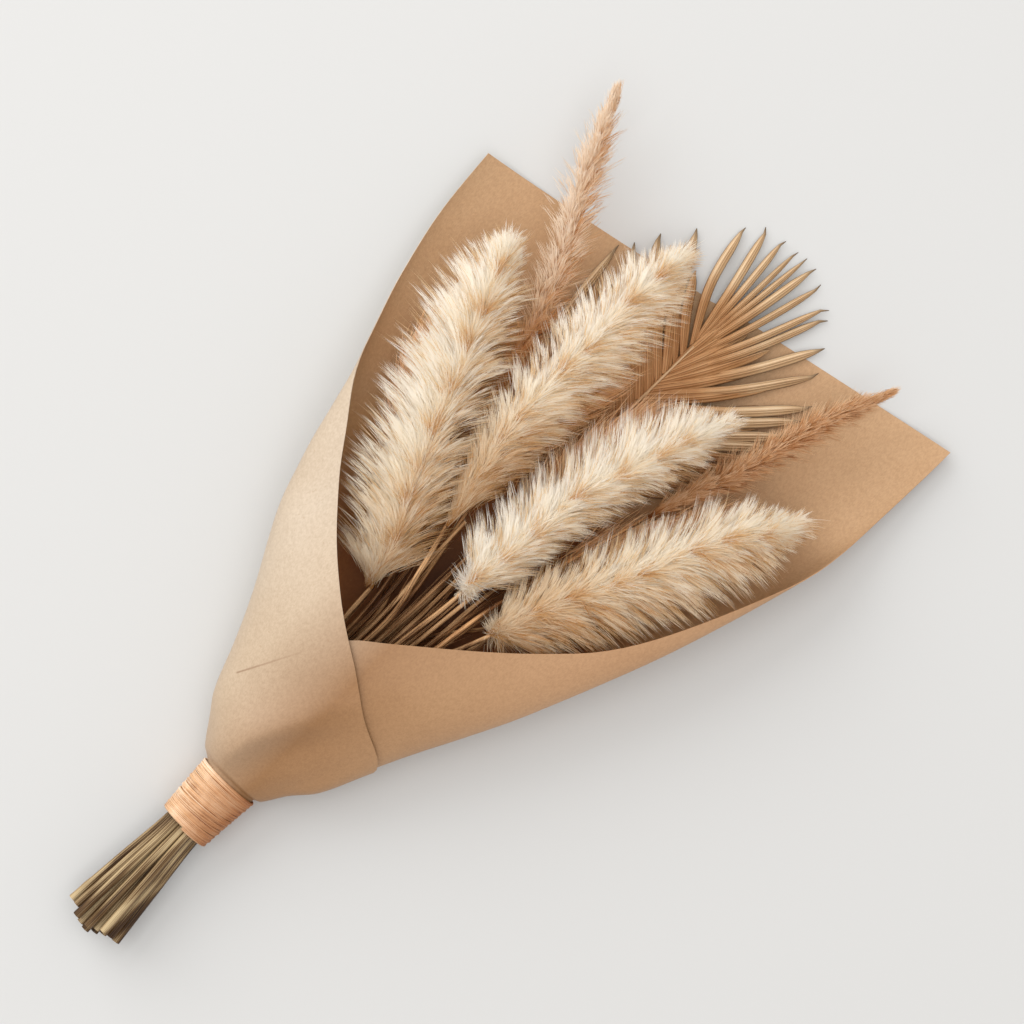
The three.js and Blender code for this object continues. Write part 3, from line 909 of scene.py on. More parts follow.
@dataclass(frozen=True)
class Stem:
    """A dry stem with shallow flutes, a few joints, a hollow cut end and some blades beside it."""

    node: str
    slot: Pair
    beyond: tuple[Place, ...]
    tip_radius: float
    dark: bool = False
    sides: int = 12
    ring_gap: float = 5
    taper: Keys = ((0, 1), (0.3, 0.96), (0.46, 0.7))
    joint_gap: float = 105
    joint_shift: float = 40
    joint_length: float = 2.2
    joint_swell: float = 0.12
    flutes: int = 5
    flute_depth: float = 0.045
    warp_depth: float = 0.03
    rim: float = 0.7
    pit_depth: float = 2.5
    blade_count: int = 2

    def radius_along(self, length: float) -> Callable[[Array, Array], Array]:
        """Makes the stem's outline.

        Args:
            length: The length of the whole stem.

        Returns:
            What gives the radius for a share of the length and an angle round the stem.
        """
        phase = self.slot[0] * 2.1 + self.slot[1] * 1.3
        taper = (*self.taper, (1, self.tip_radius / PACKING.stem_radius))

        def radius(share: Array, angle: Array) -> Array:
            """Reads the outline.

            Args:
                share: The share of the length.
                angle: The angle round the stem.

            Returns:
                The radius there.
            """
            to_joint = (share * length + self.joint_shift * phase) % self.joint_gap - self.joint_gap / 2
            joint = self.joint_swell * np.exp(-((to_joint / self.joint_length) ** 2))
            flutes = self.flute_depth * np.cos(self.flutes * angle + phase)
            warp = self.warp_depth * np.sin(2 * angle + share * 9 + phase)
            return PACKING.stem_radius * keyed(taper, share) * (1 + joint + flutes + warp)

        return radius

    def build(self, material: bpy.types.Material) -> Piece:
        """Models the stem and its blades, and sinks a pit in its cut end.

        Args:
            material: Its finish.

        Returns:
            The dressed stem.
        """
        course = Course(PACKING.route(self.slot, self.beyond))
        faces = (self.sides, int(course.length / self.ring_gap))
        piece = lay_tube(self.node + "_dressed", course, self.radius_along(course.length), faces)
        self.hollow_end(piece)
        draw = np.random.default_rng(int(abs(self.slot[0] * 10 + self.slot[1] * 100) + 7))
        blades = [Blade().build(course, draw) for _ in range(self.blade_count)]
        piece = join([piece, *blades], self.node + "_dressed")
        shade_smooth(piece)
        wear(piece, material)
        return piece

    def hollow_end(self, piece: Piece) -> None:
        """Insets the face of the cut end and pushes it in.

        Args:
            piece: The stem.
        """
        bpy.ops.object.mode_set(mode="EDIT")
        bpy.ops.mesh.select_all(action="DESELECT")
        bpy.ops.object.mode_set(mode="OBJECT")
        lowest = min(piece.data.polygons, key=lambda face: face.center.y)
        lowest.select = True
        inward = -lowest.normal.copy()
        bpy.ops.object.mode_set(mode="EDIT")
        bpy.ops.mesh.inset(thickness=self.rim * MM)
        bpy.ops.mesh.extrude_region_move(TRANSFORM_OT_translate={"value": inward * self.pit_depth * MM})
        bpy.ops.object.mode_set(mode="OBJECT")


@dataclass(frozen=True)
class Hair:
    """One flat hair, modelled once. Every hair of a head is a copy of it along a path of its own."""

    segments: int
    across: Array
    along: Array
    corners: Array
    starts: Array

    @classmethod
    def model(cls, segments: int) -> "Hair":
        """Models the hair as a strip whose end is drawn together to a point.

        Args:
            segments: The faces along it.

        Returns:
            The hair.
        """
        strip = add_stock("hair", 1, segments)[0].data
        for vertex in strip.vertices:
            vertex.select = vertex.co.y > 0.49
        for edge in strip.edges:
            edge.select = all(strip.vertices[i].select for i in edge.vertices)
        for face in strip.polygons:
            face.select = False
        bpy.ops.object.mode_set(mode="EDIT")
        bpy.ops.mesh.merge(type="CENTER")
        bpy.ops.object.mode_set(mode="OBJECT")
        spots = np.array([vertex.co[:] for vertex in strip.vertices])
        corners = np.array([loop.vertex_index for loop in strip.loops])
        starts = np.array([face.loop_start for face in strip.polygons])
        bpy.data.meshes.remove(strip)
        return cls(segments, spots[:, 0] * 2, spots[:, 1] + 0.5, corners, starts)

    def copies(self, paths: Array, facing: Array, widths: Array, tints: Array, spans: Array) -> Piece:
        """Copies the hair along paths.

        Args:
            paths: For each hair, its points in millimetres, one more than its segments.
            facing: At each point, the direction that the hair's flat side faces.
            widths: At each point, the hair's width.
            tints: For each hair, its tint from 0 to 1.
            spans: For each hair, the places along its lock where it starts and ends.

        Returns:
            The piece, whose map holds the tint across and the place along the lock.
        """
        heading = np.gradient(paths, axis=1)
        sideways = unit(np.cross(heading, facing)) * column(widths) / 2
        row = np.rint(self.along * self.segments).astype(int)
        points = paths[:, row] + sideways[:, row] * self.across[None, :, None]
        count, each = points.shape[:2]
        number = np.arange(count)[:, None]
        corners = (self.corners[None, :] + number * each).ravel()
        starts = (self.starts[None, :] + number * len(self.corners)).ravel()
        mesh = bpy.data.meshes.new("hairs")
        mesh.vertices.add(count * each)
        mesh.vertices.foreach_set("co", (points * MM).astype(np.float32).ravel())
        mesh.loops.add(len(corners))
        mesh.loops.foreach_set("vertex_index", corners.astype(np.int32))
        mesh.polygons.add(len(starts))
        mesh.polygons.foreach_set("loop_start", starts.astype(np.int32))
        mesh.update(calc_edges=True)
        spot = np.empty((count, len(self.corners), 2), np.float32)
        spot[..., 0] = 0.03 + 0.94 * tints[:, None] + 0.02 * self.across[self.corners][None, :]
        reached = spans[:, :1] + (spans[:, 1:] - spans[:, :1]) * self.along[self.corners][None, :]
        spot[..., 1] = 0.02 + 0.96 * reached
        mesh.uv_layers.new(name=HAIR_MAP).uv.foreach_set("vector", spot.ravel())
        mesh.polygons.foreach_set("use_smooth", np.ones(len(starts), bool))
        piece = bpy.data.objects.new("hairs", mesh)
        bpy.context.scene.collection.objects.link(piece)
        return piece


@dataclass(frozen=True)
class Coat:
    """One kind of hair in a head. Its locks rise from tufts along the rib and end in points.

    Depths are shares of the head's outline, and sines are shares of its half width at which the locks
    end. Starts are the shares of a lock where hairs begin, tones the places in the finish that a lock
    runs through, and the pale share is where in the finish a loose lock begins.
    """

    hairs: int
    hairs_a_lock: int
    reach: float
    depths: Pair
    width: float
    sines: Pair = (0, 1)
    starts: Pair = (0, 0.5)
    loose: float = 0.3
    lift: float = 0.6
    bulge: float = 0.2
    flare: float = 1.3
    root_spread: float = 1.1
    tip_spread: float = 1.6
    wave: float = 0.5
    top_share: float = 0.62
    root_band: Pair = (0, 1)
    reach_range: Pair = (0.8, 1.2)
    pale: float = 0.38
    tones: Pair = (0, 1)


@dataclass(frozen=True)
class Habit:
    """How a kind of head grows its hair: tufts along its rib, with a few coats in each.

    The tuft place and scatter are shares of the tuft gap, and the highest root is a share of the rib.
    Locks in the middle keep a share of their reach. Past the end they are shortened, which varies, and
    narrowed. The shade and the right shade are how much deeper the painted shade makes the hairs on the
    underside and on the right, and the left painted light how much paler it makes them on the left,
    towards the light. A hair's width is a share of its coat's, drawn from the width range and read at
    even steps from its taper.
    """

    coats: tuple[Coat, ...]
    tuft_gap: float
    tuft_depth: float
    segments: int = 4
    left_reach: float = 0.85
    middle_reach: float = 0.85
    tuft_shift: float = 1.3
    tuft_place: float = 0.2
    tuft_scatter: float = 0.15
    highest_root: float = 0.97
    past_end: float = 0.5
    past_end_range: Pair = (0.6, 3)
    past_end_narrowing: float = 0.55
    core: float = 0.55
    # painted shade on the underside and on the right, and painted light on the left
    shade: float = 0.85
    right_shade: float = 0.15
    left_painted_light: float = 0.55
    width_range: Pair = (0.7, 1.3)
    taper: tuple[float, ...] = (0.5, 1, 0.9, 0.6, 0.1)
    ends: Pair = (0.88, 1)
    forward_bow: float = 0.22
    rise: float = 1.6
    flare_spread: float = 0.12
    facing_spread: float = 0.12


SILKY = Habit(
    (
        Coat(
            hairs=11000, hairs_a_lock=14, reach=26, depths=(0.55, 1.02), width=0.28, sines=(0.05, 1),
            starts=(0, 0.55), loose=0.62, root_spread=1.5, tip_spread=1.7,
        ),
        Coat(
            hairs=9400, hairs_a_lock=7, reach=25, depths=(1, 1.45), width=0.23, sines=(0.3, 1),
            starts=(0.35, 0.75), loose=0.6, root_spread=1.6, tip_spread=0.45, wave=0.3, flare=1.2, pale=0.5,
        ),
        Coat(
            hairs=6400, hairs_a_lock=11, reach=22, depths=(0.75, 1.05), width=0.28, sines=(0, 0.5),
            loose=0.5, lift=0.9, bulge=0.15, tip_spread=1.9, top_share=1,
        ),
        Coat(
            hairs=1900, hairs_a_lock=10, reach=13, depths=(0.92, 1.05), width=0.27, sines=(0, 0.5),
            starts=(0, 0.3), loose=0.2, lift=1.01, bulge=0.12, tip_spread=2, root_spread=1.2, top_share=1,
            tones=(0.06, 0.45), root_band=(0.05, 0.85),
        ),
        Coat(
            hairs=1100, hairs_a_lock=2, reach=25, depths=(1.1, 1.6), width=0.2, sines=(0.35, 1),
            starts=(0.4, 0.7), loose=1, root_spread=1.6, tip_spread=0.8, wave=0.6, pale=0, tones=(0, 0.3),
            top_share=0.75,
        ),
        Coat(
            hairs=700, hairs_a_lock=5, reach=4, depths=(0.6, 1), width=0.26, loose=1,
            root_band=(0, 0.05), reach_range=(-1.3, 2.5), top_share=0.55,
        ),
    ),
    tuft_gap=21, tuft_depth=1.8, segments=3, past_end=0.64,
)
BARE_FOOTED = replace(SILKY, coats=SILKY.coats[:-1])
FEATHERY = Habit(
    (
        Coat(
            hairs=4600, hairs_a_lock=8, reach=15, depths=(0.4, 1.15), width=0.34, starts=(0, 0.6), lift=0.35,
            flare=1.1, loose=0.35, tip_spread=0.9,
        ),
        Coat(
            hairs=2800, hairs_a_lock=4, reach=17, depths=(1, 1.9), width=0.22, starts=(0.2, 0.7), lift=0.35,
            flare=1.1, root_spread=1, tip_spread=0.8, wave=0.3, loose=0.5,
        ),
    ),
    tuft_gap=8, tuft_depth=1.4, segments=3, core=0.3, shade=0.4,
)
WISPY = Habit(
    (
        Coat(
            hairs=3300, hairs_a_lock=3, reach=42, depths=(0.3, 1.7), width=0.42, starts=(0, 0.6), lift=0.3,
            flare=1, bulge=0.15, root_spread=2.6, tip_spread=3.2, wave=1.6, loose=1, top_share=0.7,
            root_band=(0, 0.6),
        ),
    ),
    tuft_gap=14, tuft_depth=6, core=0.1, shade=0.2,
)


class Locks(NamedTuple):
    """The locks of one coat: for each, the places along the rib where it starts and ends, and more.

    Its end lies across and above as shares of the head's half width and half height there, which its
    fullness scales. On the underside, its upward sign is -1.
    """

    root: Array
    tip: Array
    across: Array
    level: Array
    fullness: Array
    upward: Array
    crown: Array
    loose: Array


@dataclass(frozen=True)
class Head:
    """A head of hair on a rib that carries a stem on. It fills the form of its solid.

    The crown is how far to the right of the middle its tufts sit. The sides say how far its hairs reach
    to the left and to the right as shares of their length, the foot tint how pale the hairs at its foot
    are, and the pallor how pale all are. Locks spread at least as if they had the least reach, and rise
    at most as if they had the most depth.
    """

    node: str
    slot: Pair
    beyond: tuple[Place, ...]
    axis: tuple[Place, ...]
    half_width: float
    half_height: float
    outline: Keys
    habit: Habit
    finish: HairFinish
    seed: int
    record_slot: str = "cream_plume"
    crown: float = 0
    sides: Pair = (1, 1)
    foot_tint: float = 1
    pallor: float = 1
    least_reach: float = 8
    most_depth: float = 1.1

    def course(self) -> Course:
        """Lays the course of the rib, which starts just clear of the stem's end.

        Returns:
            The course.
        """
        route = PACKING.route(self.slot, self.beyond)
        start = route[-1] + unit(route[-1] - route[-2]) * PACKING.mating_gap
        return Course(np.vstack([start, *([point] for point in self.axis)]))

    def locks(self, coat: Coat, length: float, draw: Draw) -> Locks:
        """Draws the locks of one coat.

        Args:
            coat: The kind of hair.
            length: The rib's length.
            draw: The source of their irregularities.

        Returns:
            The locks.
        """
        habit = self.habit
        count = coat.hairs // coat.hairs_a_lock
        tufts = max(int(round(length / habit.tuft_gap)), 2)
        onward, aside = np.random.default_rng(self.seed).normal(0, 1, (2, tufts))
        own = draw.integers(0, tufts, count)
        tuft = (own + habit.tuft_place + habit.tuft_scatter * onward[own]) / tufts
        tuft = tuft + draw.normal(0, habit.tuft_depth / length, count)
        loose = draw.random(count) < coat.loose
        root = np.where(loose, draw.uniform(*coat.root_band, count), tuft)
        root = length * np.clip(root, 0, habit.highest_root)
        upward = np.where(draw.random(count) < coat.top_share, 1.0, -1.0)
        sine = draw.uniform(*coat.sines, count) * np.where(draw.random(count) < 0.5, 1, -1)
        depth = draw.uniform(*coat.depths, count)
        kept = habit.middle_reach + (1 - habit.middle_reach) * np.abs(sine)
        advance = coat.reach * kept * draw.uniform(*coat.reach_range, count)
        tip = root + advance * np.where(sine < 0, habit.left_reach, 1.0)
        beyond = np.maximum(tip - length, 0)
        tip = tip - beyond * (1 - habit.past_end) * draw.uniform(*habit.past_end_range, count)
        fullness = keyed(self.outline, np.clip(np.maximum(tip, root + self.least_reach) / length, 0, 1))
        fullness = fullness * (1 - habit.past_end_narrowing * np.minimum(beyond / coat.reach, 1))
        across = sine * depth * np.where(sine < 0, *self.sides)
        level = upward * np.sqrt(1 - sine**2) * np.minimum(depth, self.most_depth)
        return Locks(root, tip, across, level, fullness, upward, habit.tuft_shift * aside[own], loose)

    def toned(self, tints: Array, across: Array, level: Array, root: Array) -> Array:
        """Paints light and shade into the tints: paler on the left, towards the light, and deeper to the
        right and on the underside, which lie in shade. For most heads they are deeper at the foot as well.

        Args:
            tints: The hairs' own tints.
            across: How far to the right the lock of each ends.
            level: How far up it ends.
            root: The share of the rib where it starts.

        Returns:
            The tints that the hairs show.
        """
        # painted light on the left, painted shade on the right and on the underside
        tints = 1 - (1 - tints) * (1 - self.habit.left_painted_light * smooth_step(-0.6, 0.6, -across))
        tints = tints * self.pallor * (1 - self.habit.right_shade * smooth_step(0.3, 1.2, across))
        tints = tints * (1 - self.habit.shade * smooth_step(-0.05, 0.6, -level))
        return tints * (self.foot_tint + (1 - self.foot_tint) * smooth_step(0.1, 0.5, root))

    def grown(self, coat: Coat, course: Course, draw: Draw) -> tuple[Array, ...]:
        """Grows one coat.

        Args:
            coat: The kind of hair.
            course: The rib's course.
            draw: The source of its irregularities.

        Returns:
            The hairs' paths, the directions that they face, their widths, tints and spans.
        """
        habit, length = self.habit, course.length
        locks = self.locks(coat, length, draw)
        lock_count = len(locks.root)
        count = lock_count * coat.hairs_a_lock

        def each(values: Array | float, spread: float = 0.0) -> Array:
            """Hands a lock's value to its hairs, with a draw for each."""
            handed = np.repeat(np.broadcast_to(values, lock_count), coat.hairs_a_lock)
            return column(handed + draw.normal(0, spread, count) if spread else handed)

        tints = 0.5 * each(draw.random(lock_count))[:, 0] + 0.5 * draw.random(count)
        tints = self.toned(tints, *(each(v)[:, 0] for v in (locks.across, locks.level, locks.root / length)))
        root, tip = each(locks.root, coat.root_spread), each(locks.tip, coat.tip_spread * 1.3)
        tip_side = each(locks.across * locks.fullness * self.half_width, coat.tip_spread)
        tip_height = each(locks.level * locks.fullness * self.half_height, coat.tip_spread * 0.7)
        fullness = keyed(self.outline, locks.root / length)
        root_height = each(locks.upward * coat.lift * fullness * self.half_height, coat.root_spread * 0.4)
        flare = each(coat.flare, habit.flare_spread)
        starts, ends = draw.uniform(*coat.starts, (count, 1)), draw.uniform(*habit.ends, (count, 1))
        steps = np.linspace(0, 1, habit.segments + 1)
        v = starts + (ends - starts) * steps
        arc = np.sin(math.pi * v)
        distance = root + (tip - root) * v * (1 + habit.forward_bow * (1 - v))
        crown = self.crown * keyed(CROWN_SHAPE, root / length) + each(locks.crown)
        sideways = crown + (tip_side - crown) * v**flare + each(0, coat.wave) * arc
        sideways = sideways + draw.normal(0, coat.root_spread * 0.5, (count, 1)) * (1 - v)
        size = keyed(self.outline, np.clip(distance / length, 0, 1)) * self.half_height
        height = root_height + (tip_height - root_height) * (1 - (1 - v) ** habit.rise)
        height = height + each(locks.upward) * coat.bulge * size * arc + each(0, coat.wave) * arc
        centre, side, up = course.at(distance)
        paths = centre + side * column(sideways) + up * column(height)
        outward = side * column(sideways / self.half_width**2) + up * column(height / self.half_height**2)
        facing = unit(outward) + side * draw.normal(0, habit.facing_spread, count)[:, None, None]
        taper = np.interp(steps, np.linspace(0, 1, len(habit.taper)), habit.taper)
        widths = coat.width * taper * draw.uniform(*habit.width_range, (count, 1))
        pale = each(np.where(locks.loose, coat.pale, 0.0))
        spans = pale + (1 - pale) * np.hstack([starts, ends])
        return paths, facing, widths, tints, coat.tones[0] + (coat.tones[1] - coat.tones[0]) * spans

    def hairs(self, course: Course) -> list[Array]:
        """Grows all coats.

        Args:
            course: The rib's course.

        Returns:
            The hairs' paths, the directions that they face, their widths, tints and spans.
        """
        draw = np.random.default_rng(self.seed)
        coats = [self.grown(coat, course, draw) for coat in self.habit.coats]
        return [np.concatenate(parts) for parts in zip(*coats)]

    def rib(self, course: Course) -> Piece:
        """Models the rib that the hairs grow from.

        Args:
            course: The rib's course.

        Returns:
            The rib.
        """
        lift = self.habit.coats[0].lift * 0.5 * self.half_height
        shares = np.linspace(0, 0.94, 14)
        centre, side, up = course.at(shares * course.length)
        raised = lift * smooth_step(0, 0.1, shares) * keyed(self.outline, shares)
        middle = centre + side * column(self.crown * keyed(CROWN_SHAPE, shares)) + up * column(raised)
        piece = lay_tube("rib", Course(middle), lambda share, _: 1.1 - 0.8 * share, (6, 40))
        place_map(piece, HAIR_MAP, (0.3, 0.08), (0.1, 0.06))
        return piece

    def core(self, course: Course) -> Piece:
        """Models the dense fluff in the middle of the head, which shows between the hairs.

        Args:
            course: The rib's course.

        Returns:
            The fluff.
        """

        def radius(share: Array, angle: Array) -> Array:
            """Reads the head's outline.

            Args:
                share: The share of the length.
                angle: The angle round the rib.

            Returns:
                The radius there.
            """
            half_width = self.half_width * np.where(np.sin(angle) < 0, *self.sides)
            rounded = np.hypot(np.sin(angle) / half_width, np.cos(angle) / self.half_height)
            return self.habit.core * keyed(self.outline, share) / rounded

        piece = lay_tube("core", course, radius, (20, 36), (0.03, 0.96))
        place_map(piece, HAIR_MAP, (0.6, 0.42), (0.3, 0.1))
        return piece

    def build(self, material: bpy.types.Material) -> Piece:
        """Models the head and gives it its finish.

        Args:
            material: The finish.

        Returns:
            The dressed head.
        """
        course = self.course()
        hairs = Hair.model(self.habit.segments).copies(*self.hairs(course))
        piece = join([hairs, self.rib(course), self.core(course)], self.node + "_dressed")
        wear(piece, material)
        return piece


CROWN_SHAPE: Keys = ((0, 0), (0.2, 0.7), (0.5, 1), (0.8, 0.8), (1, 0.2))
FULL: Keys = (
    (0, 0.3), (0.05, 0.6), (0.13, 0.88), (0.25, 1), (0.45, 1.02), (0.62, 1.03), (0.78, 1), (0.88, 0.9),
    (0.95, 0.7), (1, 0.46),
)
POINTED: Keys = (
    (0, 0.14), (0.05, 0.4), (0.13, 0.78), (0.25, 1), (0.45, 1.02), (0.62, 1.03), (0.78, 1.02), (0.87, 0.93),
    (0.94, 0.76), (1, 0.5),
)
SLENDER: Keys = (
    (0, 0.12), (0.05, 0.26), (0.14, 0.48), (0.28, 0.8), (0.45, 0.98), (0.62, 1.05), (0.78, 1.03),
    (0.89, 0.94), (0.96, 0.74), (1, 0.52),
)
BLUSH_OUTLINE: Keys = (
    (0, 0.14), (0.08, 0.4), (0.2, 0.8), (0.4, 1.05), (0.6, 1.05), (0.8, 0.88), (0.93, 0.58), (1, 0.22),
)
BROWN_OUTLINE: Keys = ((0, 0.14), (0.12, 0.35), (0.3, 0.85), (0.5, 1), (0.75, 0.75), (0.92, 0.35), (1, 0.1))

HEADS = (
    Head(
        "cream_plume_a", (-2, 0), (),
        ((-38, -48, 34), (-56, -13, 38), (-70, 20, 38), (-82, 48, 36), (-95, 89.5, 32)),
        26, 16.5, POINTED, BARE_FOOTED, CREAM, 11, crown=6.5, foot_tint=0.5,
    ),
    Head(
        "cream_plume_b", (-1, 2), ((-12, -52, 37.4), (-18, -28, 37.2)),
        ((-24, 6, 38.5), (-28, 48, 38.5), (-29, 100, 36), (-29, 147, 33)),
        21, 16, SLENDER, BARE_FOOTED, CREAM, 23, crown=-3.5, foot_tint=0.35,
    ),
    Head(
        "cream_plume_c", (0, 2), ((9.5, -61, 37.4), (11, -46, 37.2)),
        ((13, -16, 38.5), (17, 20, 38.5), (28, 63, 38), (43.5, 103, 34.5)),
        19, 16, FULL, SILKY, CREAM, 37, sides=(1.2, 0.85),
    ),
    Head(
        "cream_plume_d", (1.5, 1), ((31, -64, 32), (36, -51, 33)),
        ((50, -18, 37.5), (68, 22, 38), (85, 60, 36), (103, 92, 32)),
        25, 16.5, FULL, SILKY, CREAM, 41, crown=-3, sides=(0.85, 1.05), foot_tint=0.5, pallor=0.78,
    ),
    Head(
        "blush_plume_e", (-1.5, -1), ((-28, -35, 16), (-37, 7, 14.2), (-41, 22, 14.6)),
        ((-54, 60, 18.5), (-63, 87, 22.5), (-74, 111, 25.5), (-89, 139, 28.5), (-112, 185, 34)),
        11, 7.5, BLUSH_OUTLINE, FEATHERY, PALE_BLUSH, 53, "blush_plume", foot_tint=0.1,
    ),
    Head(
        "blush_plume_f", (1, 2),
        ((25, -50, 34.5), (29, -30, 30.5), (34, -10, 26), (39.5, 9, 23.5), (46, 32, 21.5), (50, 46, 21.2)),
        ((57, 68, 21.8), (66, 96, 23.8), (78, 140, 28), (91, 174, 32)),
        8.5, 6.5, BLUSH_OUTLINE, FEATHERY, BLUSH, 67, "blush_plume",
    ),
)


@dataclass(frozen=True)
class BrownGrass:
    """A thin brown stalk that opens into a flat loose spray, grown as one."""

    node: str
    slot: Pair
    beyond: tuple[Place, ...]
    axis: tuple[Place, ...]
    seed: int
    half_width: float = 9.5
    half_height: float = 4
    stalk_tip: float = 1.1

    def build(self, hair_material: bpy.types.Material, stalk_material: bpy.types.Material) -> Piece:
        """Models the stalk and the spray and joins them.

        Args:
            hair_material: The spray's finish.
            stalk_material: The stalk's finish.

        Returns:
            The dressed grass.
        """
        head = Head(
            self.node, self.slot, self.beyond, self.axis, self.half_width, self.half_height, BROWN_OUTLINE,
            WISPY, BROWN, self.seed,
        )
        spray = head.build(hair_material)
        stalk = Stem(self.node, self.slot, self.beyond, self.stalk_tip).build(stalk_material)
        stalk.data.uv_layers[0].name = HAIR_MAP
        return join([stalk, spray], self.node + "_dressed")


BROWN_GRASSES = (
    BrownGrass(
        "brown_grass_left", (-1, -2), ((-26, -56, 11.8), (-42, -38, 10.8)),
        ((-62, -16, 11.5), (-84, 15, 14.5), (-99, 55, 20)), 71,
    ),
    BrownGrass(
        "brown_grass_left_middle", (-0.5, -1), ((-10, -45, 17), (-16, -16, 14.8)),
        ((-20, 22, 15.6), (-15, 60, 16.2), (-6, 98, 18)), 73,
    ),
    BrownGrass(
        "brown_grass_middle", (0.5, -1), ((6, -45, 16.6), (4.5, -16, 14.8)),
        ((5.5, 22, 15.4), (9, 62, 16), (20, 104, 18)), 79,
    ),
    BrownGrass(
        "brown_grass_right_middle", (1.5, -1), ((28, -45, 17), (35, -16, 14.6)),
        ((47, 18, 14.4), (66, 54, 15), (83, 90, 18.5)), 83,
    ),
    BrownGrass(
        "brown_grass_right", (1, -2), ((30, -54, 11.2), (46, -34, 10.6)),
        ((60, -12, 11.2), (79, 18, 13.4), (95, 54, 19)), 89,
    ),
)

CREAM_NECK = 1.25
BLUSH_NECK = 0.8
BARE_TIP = 1.0
PALM_TIP = 1.6
BARE_ROUTES = (
    ((-1.5, 1), ((-17.5, -45, 26), (-20, -15, 22.5))),
    ((-1, 0), ((-12, -45, 22), (-13, -20, 19.2))),
    ((-0.5, 1), ((0, -45, 27), (1, -12, 22.5))),
    ((0, 0), ((4.5, -45, 22.5), (5, -20, 20))),
    ((0.5, 1), ((15.5, -48, 27.5), (19, -12, 21.5))),
    ((1, 0), ((20, -45, 22), (24, -15, 19.2))),
    ((2, 0), ((38, -45, 22.5), (44, -15, 18.6))),
)
PALM_STALK = ((0, -2), ((2, -45, 10), (4, -15, 6.6), (5, -2, 5.5)))


def stems() -> list[Stem]:
    """Lists the stems that are solids of their own.

    Returns:
        The stems.
    """
    listed = []
    for head in HEADS:
        cream = head.finish is CREAM
        neck = CREAM_NECK if cream else BLUSH_NECK
        listed.append(Stem("stem_of_" + head.node, head.slot, head.beyond, neck, dark=not cream))
    for number, route in enumerate(BARE_ROUTES, 1):
        listed.append(Stem(f"bare_stalk_{number}", *route, BARE_TIP))
    return [*listed, Stem("stem_of_palm_leaf", *PALM_STALK, PALM_TIP)]


class Leaflet(NamedTuple):
    """How far up the rib a leaflet grows, the place of its tip, its bow away from the rib and its width.

    The bow is a share of the leaflet's length.
    """

    along: float
    tip_x: float
    tip_y: float
    bow: float = 0.03
    width: float = 5.4


